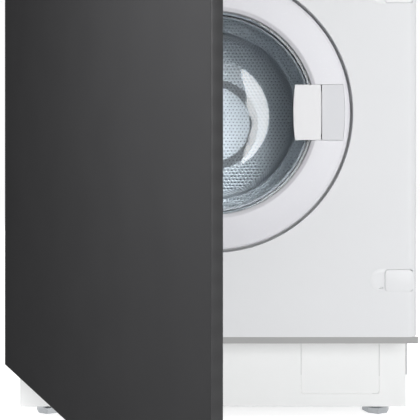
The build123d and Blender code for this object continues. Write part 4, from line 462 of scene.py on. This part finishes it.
# Hoses: a ribbed polypropylene drain hose from the pump along the floor and up the rear corner to its
# nipple, a rubber fill hose from valve to dispenser, and a wide rubber bellows from tub to pump.


def bellows(name, points, inner, outer, pitch, sides=16):
    """A hose with a rib every pitch, laid along a smooth line through the given points."""
    bpy.ops.curve.primitive_nurbs_path_add()
    line = bpy.context.object
    spline = line.data.splines[0]
    routed = len(points) > len(spline.points)
    if routed:
        spline.points.add(len(points) - len(spline.points))
    for i, point in enumerate(spline.points):
        share = i / (len(spline.points) - 1)
        place = points[i] if routed else Vector(points[0]).lerp(Vector(points[-1]), share)
        point.co = tuple(v * mm for v in place) + (1.0,)
    spline.order_u = 3
    spline.use_endpoint_u = True
    bpy.ops.mesh.primitive_cylinder_add(
        vertices=sides, radius=inner * mm, depth=pitch * mm, end_fill_type="NOTHING",
        location=(pitch * mm / 2, 0, 0), rotation=(0, pi / 2, 0)
    )
    rib = bpy.context.object
    rib.name = name
    bpy.ops.object.transform_apply(location=True, rotation=True)
    bpy.ops.object.mode_set(mode="EDIT")
    for share in (0.25, 0.4, 0.75, 0.9):
        bpy.ops.mesh.select_all(action="SELECT")
        bpy.ops.mesh.bisect(plane_co=(share * pitch * mm, 0, 0), plane_no=(1, 0, 0))
    bpy.ops.object.mode_set(mode="OBJECT")
    for vertex in rib.data.vertices:
        if 0.35 < vertex.co.x / (pitch * mm) < 0.8:
            vertex.co.yz = vertex.co.yz * outer / inner
    apply_modifier(rib, "ARRAY", fit_type="FIT_CURVE", curve=line, use_merge_vertices=True, merge_threshold=0.01 * mm)
    apply_modifier(rib, "CURVE", object=line, deform_axis="POS_X")
    bpy.data.objects.remove(line)
    return rib


drain_x, drain_y, drain_top = 271.5, 440, 640
drain = bellows("drain_hose_run", [
    (232.2, 140.5, 95), (232.2, 158, 95), (232.4, 176, 95), (237, 208, 95), (250, 300, 95), (265, 396, 95),
    (drain_x, drain_y, 95), (drain_x, drain_y, 140), (drain_x, drain_y, 300), (drain_x, drain_y, 596),
    (drain_x, drain_y, drain_top), (drain_x, 479.6, drain_top),
], 6.4, 7.7, 6.0)
fit(settle(drain, smooth=60), "machine", grey_polymer, "hose_rubber", "drain_hose")
fill = bellows("fill_hose_run", [(150, 238.5, 752), (150, 451.5, 752)], 6.2, 7.9, 5.0)
fit(settle(fill, smooth=60), "machine", hose_rubber, "hose_rubber", "fill_hose")
sump = bellows("sump_bellows", [(195, 115, 148.5), (195, 115, 205.6)], 13.5, 16.9, 11.4, 32)
fit(settle(sump, smooth=60), "machine", hose_rubber, "hose_rubber", "sump_hose")

# Water inlet valve: a solenoid valve with a threaded brass stub through the back sheet. Machined brass
# is yellow, with fine turning marks of 2 mm.
brass = bare_metal("machined_brass", "#C7A86A", "#B3935A", 0.3, 0.002, (1, 1, 1), 0.00003)
eased("machine", 1.2, brass, water_inlet_valve="inlet_valve_body")

# Dispenser and drawer: a grey case under the top sheet, rinsed from above, and the white drawer with
# two compartments that slides in it. The control module has a case of the same grey plastic.
module_grey = painted("grey_module_housing", "#A9ACB0", "#A4A7AB", 0.5, 0.001, 0.00008)
eased("machine", 0.4, module_grey, dispenser_housing="dispenser_case")
eased("drawer", 0.4, white_abs, detergent_drawer="detergent_drawer_box")
eased("machine", 1.2, module_grey, control_module="control_box")

# Side and top sheets: folded steel with pressed beads against drumming, coated white, a little greyer
# than the front. The top sheet's folded ends close the corner between it and the fascia.
sheet_white = painted("white_coated_side_sheet", "#DEDFE1", "#DBDCDE", 0.45)
eased("machine", 0.5, sheet_white, side_panel_left="left_side_sheet", side_panel_right="right_side_sheet",
      top_panel="top_sheet")


def add_box(name, low, high):
    """A block between two corners, with its place in its mesh."""
    low, high = Vector(low), Vector(high)
    bpy.ops.mesh.primitive_cube_add(size=1.0, location=(low + high) / 2)
    piece = bpy.context.object
    piece.name = name
    piece.scale = high - low
    bpy.ops.object.transform_apply(location=True, rotation=True, scale=True)
    return piece


end_outer = 297.4
end_inner = 296.2
ends = []
for side in (-1, 1):
    low, high = sorted((side * end_outer, side * end_inner))
    end = add_box("top_end", Vector((low, 12.4, 802.6)) * mm, Vector((high, 40.0, 818.9)) * mm)
    apply_modifier(end, "BEVEL", width=0.3 * mm, segments=2)
    ends.append(end)
fit(settle(joined("top_sheet_end_folds", *ends)), "machine", sheet_white, "white_sheet")

# Back sheet and its access cover: bare zinc-coated steel, the cover beaded and screwed over the belt's
# opening. Its zinc crystals are about 22 mm across. A black polyamide grommet lines the cable's hole.
back_zinc = bare_metal("zinc_coated_back_sheet", "#B7BBBE", "#A2A6AA", 0.45, 0.022, (1, 1, 1), 0.00002)
eased("machine", 0.5, back_zinc, rear_panel="back_sheet", rear_access_cover="back_cover")
eased("machine", 0.4, black_polyamide, cable_gland="cable_grommet")

# White front: one steel sheet folded round the cabinet's two front edges, with the round dish for the
# porthole and four hinge seats pressed into it, degreased and powder coated white.
front_low = Vector((-297.5, 0.0, 136.0)) * mm
front_high = Vector((297.5, 40.0, 700.0)) * mm
fold_radius = 18.0 * mm
sheet = 1.2
dish_radius = 202.3
dish_lip = dish_radius + sheet
dish_depth = 17.0
dish_hole = 164.0
hook_slot = Vector((184.0, dish_depth, 460.0)) * mm
hook_room = Vector((13, 5, 13)) * mm
seat_heights = (217.8 * mm, 633.8 * mm)
seat_centre = 258.2 * mm
seat_half = 30.8 * mm
seat_rise = 16.6 * mm
seat_depth = 10.2 * mm
seat_room = 0.3 * mm


def choose(piece, edges=None, faces=None):
    """Goes to edit mode with only the edges or faces chosen that pass a test of their place."""
    bpy.ops.object.mode_set(mode="EDIT")
    bpy.ops.mesh.select_mode(type="EDGE" if edges else "FACE")
    bpy.ops.mesh.select_all(action="DESELECT")
    bpy.ops.object.mode_set(mode="OBJECT")
    mesh = piece.data
    for edge in mesh.edges if edges else ():
        a, b = (mesh.vertices[v].co for v in edge.vertices)
        edge.select = bool(edges(a, b))
    for face in mesh.polygons if faces else ():
        face.select = bool(faces(face.center, face.normal))
    bpy.ops.object.mode_set(mode="EDIT")


def cut_away(piece, *cutters):
    """Cuts each cutter out of the piece and throws the cutter away."""
    for cutter in cutters:
        apply_modifier(piece, "BOOLEAN", operation="DIFFERENCE", object=cutter, solver="EXACT")
        bpy.data.objects.remove(cutter)


def open_shell(piece, thickness, faces):
    """Takes faces off a block and gives the rest a wall inwards."""
    choose(piece, faces=faces)
    bpy.ops.mesh.delete(type="FACE")
    bpy.ops.object.mode_set(mode="OBJECT")
    apply_modifier(piece, "SOLIDIFY", thickness=thickness, offset=-1.0, use_even_offset=True)


def seat_block(name, side, z, front_y, back_y, grow=0.0):
    """A block as large as a hinge seat, half round at the end that a blind cap points inwards."""
    half = Vector((seat_half + grow, 0, seat_rise + grow))
    middle = Vector((side * seat_centre, 0, z))
    block = add_box(name, middle - half + Vector((0, front_y, 0)), middle + half + Vector((0, back_y, 0)))
    for outer, radius in ((False, 16.0 * mm if side > 0 else 3.0 * mm), (True, 3.5 * mm)):
        choose(block, edges=lambda a, b: abs(a.y - b.y) > mm and (abs(a.x) > seat_centre) == outer)
        bpy.ops.mesh.bevel(offset=radius, segments=10, affect="EDGES")
        bpy.ops.object.mode_set(mode="OBJECT")
    return block


# Polyester powder coat on steel: white, half gloss, with the soft orange peel of a baked coat.
powder_coat = painted("white_powder_coat", "#E4E5E7", "#E1E2E4", 0.42, level=0.07)

front = add_box("front_sheet", front_low, front_high)
choose(front, edges=lambda a, b: abs(a.z - b.z) > 0.1 and a.y < mm)
bpy.ops.mesh.bevel(offset=fold_radius, segments=10, affect="EDGES")
bpy.ops.object.mode_set(mode="OBJECT")
open_shell(front, sheet * mm, lambda centre, normal: normal.y > 0.9)
dish_start, dish_end = (0, -5 * mm, drum_height), (0, 10 * mm, drum_height)
cut_away(front, add_rod("dish_cutter", dish_lip * mm, dish_start, dish_end, 128))
for side in (-1, 1):
    for z in seat_heights:
        cut_away(front, seat_block("seat_cutter", side, z, -5 * mm, 5 * mm, seat_room))
dish = turn_profile("front_dish", rounded([
    (dish_lip, 0, 0), (dish_radius, 0, sheet * 0.98), (dish_radius, dish_depth, 2.5), (dish_hole, dish_depth, 0),
    (dish_hole, dish_depth + sheet, 0), (dish_lip, dish_depth + sheet, 3.5), (dish_lip, sheet, 0),
]))
cut_away(dish, add_box("slot_cutter", hook_slot - hook_room, hook_slot + hook_room))
seats = []
for side in (-1, 1):
    for z in seat_heights:
        pan = seat_block("seat_pan", side, z, 0.0, seat_depth, seat_room)
        open_shell(pan, sheet * mm, lambda centre, normal: normal.y < -0.9)
        seats.append(pan)
fit(settle(joined("front_sheet", front, dish, *seats)), "machine", powder_coat, "white_front", "front_panel")

# Door gasket: grey rubber sleeve clamped in the dish. Its lip meets the glass, and a soft fold behind
# the lip lets the tub swing. EPDM is matt and pale grey, with a faint skin of 3 mm.
rubber = painted("moulded_epdm_rubber", "#A3A7AC", "#9A9EA4", 0.5, 0.003, 0.0001)
gasket = turn_profile("door_gasket_sleeve", rounded([
    (142.5, 15.0, 0.8), (163.7, 14.2, 1.5), (163.7, 45.0, 1.5), (171.5, 47.0, 1.5), (171.5, 70.0, 0),
    (160.5, 70.0, 0), (160.5, 58.0, 2.0), (152.0, 50.0, 3.0), (158.0, 40.0, 3.0), (152.0, 31.0, 3.0),
    (160.0, 22.0, 2.0), (142.5, 17.4, 0.8),
], 5))
fit(settle(gasket), "machine", rubber, "gasket_rubber", "door_gasket")

# Porthole hinge: a nickel-plated steel plate with its pin, screwed into the dish on the left, and the
# leaf on the ring that turns on it. Nickel is bright, a little warm, with faint marks of 4 mm.
nickel = bare_metal("nickel_plated_steel", "#C9C6BF", "#B9B6AF", 0.22, 0.004, (1, 1, 1), 0.00002)
eased("machine", 0.5, nickel, porthole_hinge_bracket="porthole_hinge_plate")
eased("porthole_door", 0.6, nickel, door_hinge_leaf="porthole_hinge_leaf")

# Porthole inner ring: a moulding behind the glass that is screwed to the outer ring and clamps the
# glass between the two. Filled polypropylene is a plain satin grey.
inner_grey = painted("grey_inner_ring_moulding", "#A9ACB1", "#A4A7AC", 0.4, 0.0015, 0.00006)
eased("porthole_door", 0.6, inner_grey, door_inner_ring="porthole_inner_ring")

# Glass bowl: pressed borosilicate, clear with a cold tint where it is thick and slow waves 50 mm long.
# Its flange sits between the door's two rings and its drawn cup keeps the laundry in the drum.
glass, tree, place = start_finish("pressed_borosilicate_glass")
waves = add_node(tree, "TexNoise", {"Vector": place, "Scale": 1 / 0.05, "Detail": 1.0})
wave_bump = add_node(tree, "Bump", {"Height": waves.outputs["Fac"], "Distance": 0.0006, "Strength": 0.35})
clear = add_node(tree, "BsdfPrincipled", {
    "Base Color": linear("#EEF3F6"), "Roughness": 0.0, "IOR": 1.47, "Transmission Weight": 1.0,
    "Normal": wave_bump.outputs[0],
})
lit_through = add_node(tree, "BsdfTransparent", {"Color": linear("#F2F6F8")})
lamp_path = add_node(tree, "LightPath").outputs["Is Shadow Ray"]
glazed = add_node(tree, "MixShader", {0: lamp_path, 1: clear.outputs[0], 2: lit_through.outputs[0]})
add_node(tree, "OutputMaterial", {"Surface": glazed.outputs[0]})
bowl = turn_profile("porthole_glass", rounded([
    (166.0, 6.3, 0.8), (166.0, 10.5, 0.8), (144.5, 10.5, 4.0), (132.0, 86.0, 16.0), (90.0, 94.5, 30.0),
    (1.0, 96.0, 0), (1.0, 91.0, 0), (90.0, 89.5, 26.0), (127.5, 82.0, 12.0), (140.5, 6.3, 4.0),
], 5))
fit(settle(bowl), "porthole_door", glass, "door_bowl", "door_glass")

# Porthole ring: a glossy white moulding with an eased rim and a wide rounded bevel that leads down to
# the glass. It covers the hinge and the lever's pivot and is open at the back.
ring_plastic = painted("white_gloss_moulding", "#DCDCE1", "#D9D9DE", 0.26, 0.004, 0.00002, level=0.25)
door_radius = 198.0
opening = 147.0
ring_wall = 2.6
ring_face = -4.2
handle_left = 115.7
handle_right = 189.3
handle_half = 39.75
handle_room = 0.5
bow = 2.6


def bowed_block(name, left, right, half_height, front, back, bow):
    """A block cut into rows, each side then pushed out to a shallow arc."""
    low = Vector((left, front, 460.0 - half_height)) * mm
    high = Vector((right, back, 460.0 + half_height)) * mm
    piece = add_box(name, low, high)
    bpy.ops.object.mode_set(mode="EDIT")
    rows = 16
    for i in range(1, rows):
        bpy.ops.mesh.select_all(action="SELECT")
        height = (460.0 + half_height * (2 * i / rows - 1)) * mm
        bpy.ops.mesh.bisect(plane_co=(0, 0, height), plane_no=(0, 0, 1))
    bpy.ops.object.mode_set(mode="OBJECT")
    for vertex in piece.data.vertices:
        share = (vertex.co.z / mm - 460.0) / half_height
        if abs(vertex.co.x - left * mm) < 0.01 * mm:
            vertex.co.x += bow * share * share * mm
        if abs(vertex.co.x - right * mm) < 0.01 * mm:
            vertex.co.x -= bow * share * share * mm
    return piece


ring = turn_profile("porthole_ring", rounded([
    (opening, 6.0, 0), (opening, -1.0, 2.6), (152.5, ring_face, 5.0), (door_radius, ring_face, 5.4),
    (door_radius, 8.0, 0), (door_radius - ring_wall, 8.0, 0), (door_radius - ring_wall, ring_face + ring_wall, 1.0),
    (158.6, ring_face + ring_wall, 1.0), (158.6, 6.0, 0),
], 5), 160)
cut_away(ring, bowed_block(
    "pocket_cutter", handle_left - handle_room, handle_right + handle_room, handle_half + handle_room, -10.0, 5.9, bow
))
cut_away(ring, add_box("notch_cutter", Vector((-210.0, -1.6, 396.0)) * mm, Vector((-180.0, 20.0, 524.0)) * mm))
fit(settle(ring), "porthole_door", ring_plastic, "ring_plastic", "door_outer_ring")

# Porthole lever and its fixed cover: two white satin mouldings that make one bowed pad, the cover's
# half painted a little darker as painted shade. The lever tilts on a pin and pulls its hook out of the lock.
lever_white = painted("white_satin_lever_moulding", "#E2E2E4", "#E0E0E2", 0.32, 0.002, 0.00003, level=0.25)
# Painted shade: the cover takes the lever's satin white, painted a few steps darker.
cover_painted_shade = painted("white_satin_cover_painted_shade", "#D1D2D6", "#CECFD3", 0.32, 0.002, 0.00003, level=0.25)
eased("door_handle_lever", 1.2, lever_white, door_handle="door_lever")
eased("porthole_door", 1.0, cover_painted_shade, handle_cover="lever_cover")

# Door lock: a black polyamide case behind the dish's right edge, screwed to the front sheet, with the
# strike that the handle's hook catches.
eased("machine", 1.2, black_polyamide, door_lock="door_lock_case")

# Fascia: a white ABS moulding across the top of the front, with the drawer's opening and a smoked
# window, nearly black and smooth, over the display.
smoked = painted("smoked_polycarbonate", "#15171A", "#191B1E", 0.12, 0.02, 0.00001)
eased("machine", 1.2, white_abs, control_fascia="fascia_moulding")
eased("machine", 0.5, smoked, display_window="display_lens")

# Program dial and five keys: white ABS mouldings. The dial is pushed on a shaft of the control module,
# and the keys stand before its switches.
eased("knob", 1.0, white_abs, program_knob="program_dial")
for key in ("power", "start", "temperature", "spin", "delay"):
    eased(key + "_key", 1.0, white_abs, **{key + "_button": key + "_key_cap"})

# Printed marks: a numbered ring of twelve positions round the dial and a mark over each key, screen
# printed in an even grey ink.
knob_place = Vector((-8.0, 0.0, 768.0))
tick_ring = 25.6
number_ring = 32.0
key_marks = ((-236, 788), (52, 788), (-175, 715), (-131, 715), (-87, 715))
ink_front, ink_back = -0.12, 0.05
ink = painted("grey_screen_print_ink", "#6E7276", "#6A6E72", 0.5, level=0.2)
marks = []
for i in range(12):
    turn = 2 * pi * i / 12
    way = Vector((sin(turn), 0, cos(turn)))
    mark = add_box("mark", Vector((-0.45, ink_front, 0)) * mm, Vector((0.45, ink_back, 2.6)) * mm)
    mark.data.transform(Matrix.Translation((knob_place + way * tick_ring) * mm) @ Matrix.Rotation(turn, 4, "Y"))
    marks.append(mark)
    bpy.ops.object.text_add(location=(knob_place + way * number_ring) * mm, rotation=(pi / 2, 0, 0))
    number = bpy.context.object
    number.data.body = str(i + 1)
    number.data.size = 5.4 * mm
    number.data.align_x = "CENTER"
    number.data.align_y = "CENTER"
    number.data.extrude = 0.08 * mm
    bpy.ops.object.convert(target="MESH")
    bpy.ops.object.transform_apply(location=True, rotation=True, scale=True)
    marks.append(number)
for x, z in key_marks:
    marks.append(add_box("mark", Vector((x - 4, ink_front, z - 0.4)) * mm, Vector((x + 4, ink_back, z + 0.4)) * mm))
fit(settle(joined("dial_print", *marks)), "machine", ink, "hose_rubber")

# Kick plate and pump flap: folded white sheet in front of the feet, as wide as the cabinet, with a flap
# that folds down in front of the pump. The coat is a clean white with a fine peel.
plinth_half = 295.6
kick_white = painted("white_coated_plinth_sheet", "#F4F5F5", "#F2F3F3", 0.5)
eased("machine", 0.5, kick_white, kick_plate="plinth_sheet")
for vertex in bpy.data.objects["plinth_sheet"].data.vertices:
    if abs(vertex.co.x) > 289 * mm:
        vertex.co.x *= plinth_half / 290
eased("flap", 0.5, kick_white, pump_flap="pump_service_flap")

# Blind caps over the two spare hinge seats: white snap-in mouldings, a flat tongue with a round end
# and a raised pad, with a slot for the blade that levers them out.
cap_white = painted("white_cap_moulding", "#E2E3E5", "#DFE0E2", 0.35, 0.002, 0.00004)
caps = []
for z in seat_heights:
    tongue = seat_block("cap_tongue", 1, z, -0.2 * mm, 6.8 * mm)
    cut_away(tongue, add_box("pad_bed", (250.5 * mm, -3 * mm, z - 18 * mm), (292 * mm, 5.2 * mm, z + 18 * mm)))
    pad = add_box("cap_pad", (248.3 * mm, -1.8 * mm, z - 15.4 * mm), (287.6 * mm, 6.0 * mm, z + 15.4 * mm))
    choose(pad, edges=lambda a, b: abs(a.y - b.y) > mm)
    bpy.ops.mesh.bevel(offset=4.0 * mm, segments=6, affect="EDGES")
    bpy.ops.object.mode_set(mode="OBJECT")
    apply_modifier(tongue, "BOOLEAN", operation="UNION", object=pad, solver="EXACT")
    bpy.data.objects.remove(pad)
    slot_low, slot_high = (239.5 * mm, -3 * mm, z - 11.6 * mm), (245.5 * mm, 3 * mm, z - 9.6 * mm)
    cut_away(tongue, add_box("slot_cutter", slot_low, slot_high))
    apply_modifier(tongue, "BEVEL", width=0.4 * mm, segments=3, limit_method="ANGLE", angle_limit=radians(40))
    caps.append(tongue)
fit(settle(joined("hinge_seat_caps", *caps)), "machine", cap_white, "cap_plastic", "hinge_caps")

# Furniture hinges: nickel-plated arms screwed into the left seats and pinned to the shallow cups in the
# panel's back, with a magnet in the front and a striker plate on the panel that keep the door shut.
eased("machine", 0.5, nickel, hinge_arms="furniture_hinge_arms")
eased("furniture_door", 0.5, nickel, hinge_cups="furniture_hinge_cups", striker_plate="striker_plate_nickel")
eased("machine", 0.5, grey_polymer, magnet_catch="door_magnet")

# Furniture door: chipboard faced on both sides with dark grey melamine paper, its four edges closed
# with thin glued plastic banding. Two round pockets are drilled in its back for the hinge cups.
panel_pin = Vector((-287.5, -11.0, 0)) * mm
panel_turn = Matrix.Translation(panel_pin) @ Matrix.Rotation(radians(-60), 4, "Z")
panel_low = Vector((-10.0, -7.0, 98.0)) * mm
panel_high = Vector((585.0, 3.0, 816.0)) * mm
band = 1.3 * mm
band_inset = Vector((band, 0, band))
cup_place = 11.5 * mm
cup_hole = 17.6 * mm
cup_bottom = panel_high.y - 7.6 * mm
cup_top = panel_high.y + 5 * mm

# Melamine laminate: paper pressed in resin against a fine pearl plate, so it is matt and near black,
# with a faint grain of 1.2 mm and cloudy tone about 60 mm across.
melamine, tree, place = start_finish("melamine_laminate")
clouds = add_node(tree, "TexNoise", {"Vector": place, "Scale": 1 / 0.06, "Detail": 3.0})
tones = {0: clouds.outputs["Fac"], 6: linear("#373738"), 7: linear("#3C3C3D")}
tone = add_node(tree, "Mix", tones, data_type="RGBA")
pearl = add_node(tree, "TexNoise", {"Vector": place, "Scale": 1 / 0.0012, "Detail": 2.0})
press = add_node(tree, "Bump", {"Height": pearl.outputs["Fac"], "Distance": 0.00006, "Strength": 0.5})
gloss = add_node(tree, "MapRange", {"Value": pearl.outputs["Fac"], "To Min": 0.5, "To Max": 0.62})
laminate = add_node(tree, "BsdfPrincipled", {
    "Base Color": tone.outputs[2], "Roughness": gloss.outputs[0], "Normal": press.outputs[0],
    "Specular IOR Level": 0.0,
})
add_node(tree, "OutputMaterial", {"Surface": laminate.outputs[0]})

# ABS edge banding: the faces' grey painted darker, as painted shade on the door's edges, and smoother
# than the faces, so that it takes some light, with soft milling waves about 60 mm apart along the edge.
banding, tree, place = start_finish("abs_edge_banding")
waves = add_node(tree, "TexWave", {"Vector": place, "Scale": 1 / 0.06, "Distortion": 2.0}, bands_direction="Z")
milled = add_node(tree, "Bump", {"Height": waves.outputs["Fac"], "Distance": 0.00003, "Strength": 0.3})
# Painted shade: both tones are darker than the laminate's, so the edges read as shaded.
tones = {0: waves.outputs["Fac"], 6: linear("#2C2C2D"), 7: linear("#303031")}
tone = add_node(tree, "Mix", tones, data_type="RGBA")
strip = add_node(tree, "BsdfPrincipled", {
    "Base Color": tone.outputs[2], "Roughness": 0.38, "Normal": milled.outputs[0], "Specular IOR Level": 0.2,
})
add_node(tree, "OutputMaterial", {"Surface": strip.outputs[0]})

board = add_box("furniture_board", panel_low + band_inset, panel_high - band_inset)
for z in seat_heights:
    cut_away(board, add_rod("cup_cutter", cup_hole, (cup_place, cup_bottom, z), (cup_place, cup_top, z), 64))
fit(settle(board, panel_turn), "furniture_door", melamine, "panel_laminate", "furniture_panel")

edging = add_box("furniture_edge_banding", panel_low, panel_high)
open_shell(edging, band, lambda centre, normal: abs(normal.y) > 0.9)
apply_modifier(edging, "BEVEL", width=0.6 * mm, segments=3, limit_method="ANGLE", angle_limit=radians(40))
fit(settle(edging, panel_turn), "furniture_door", banding, "panel_laminate")

# Screws: pan heads of 7 mm with a cross recess, zinc plated. One is modelled and copied, each copy set
# on the sheet or hinge cup that it holds.
bpy.ops.mesh.primitive_cylinder_add(vertices=20, radius=3.6 * mm, depth=2.4 * mm, location=(0, 0, 1.0 * mm))
screw = bpy.context.object
bpy.ops.object.transform_apply(location=True)
choose(screw, edges=lambda a, b: min(a.z, b.z) > 2 * mm)
bpy.ops.mesh.bevel(offset=1.1 * mm, segments=3, affect="EDGES")
bpy.ops.object.mode_set(mode="OBJECT")
for across, up in ((2, 0.4), (0.4, 2)):
    cut_away(screw, add_box("recess", Vector((-across, -up, 1.2)) * mm, Vector((across, up, 4)) * mm))


def screw_row(name, body, carrier, outward, places):
    """Copies of the screw, each where a line from outside meets its carrier."""
    outward = Vector(outward).normalized()
    upright = outward.to_track_quat("Z", "Y").to_matrix().to_4x4()
    heads = []
    for place in places:
        start = Vector(place) * mm + outward * 0.05
        spot = bpy.data.objects[carrier].ray_cast(start, -outward)[1]
        head = bpy.data.objects.new(name, screw.data.copy())
        bpy.context.collection.objects.link(head)
        head.data.transform(Matrix.Translation(spot) @ upright)
        heads.append(head)
    fit(settle(joined(name, *heads)), body, zinc_plate, "foot_steel")


cover_sides = [(x, 530, z) for x in (-184, 184) for z in (230, 372, 514)]
cover_ends = [(x, 530, z) for x in (-90, 90) for z in (113, 631)]
back_sides = [(x, 530, z) for x in (-289, 289) for z in (90, 260, 430, 600, 790)]
back_top = [(x, 530, 811) for x in (-150, 150)]
cup_spots = [
    tuple((panel_turn @ Vector((cup_place, panel_high.y, z + dz * mm))) / mm)
    for z in seat_heights for dz in (-22.5, 22.5)
]
screw_row("back_cover_screws", "machine", "back_cover", (0, 1, 0), cover_sides + cover_ends)
screw_row("back_sheet_screws", "machine", "back_sheet", (0, 1, 0), back_sides + back_top)
screw_row("side_sheet_screws", "machine", "top_sheet", (0, 0, 1), [(x, 505, 830) for x in (-240, 0, 240)])
screw_row("hinge_cup_screws", "furniture_door", "furniture_hinge_cups", (0.866, 0.5, 0), cup_spots)
bpy.data.objects.remove(screw)
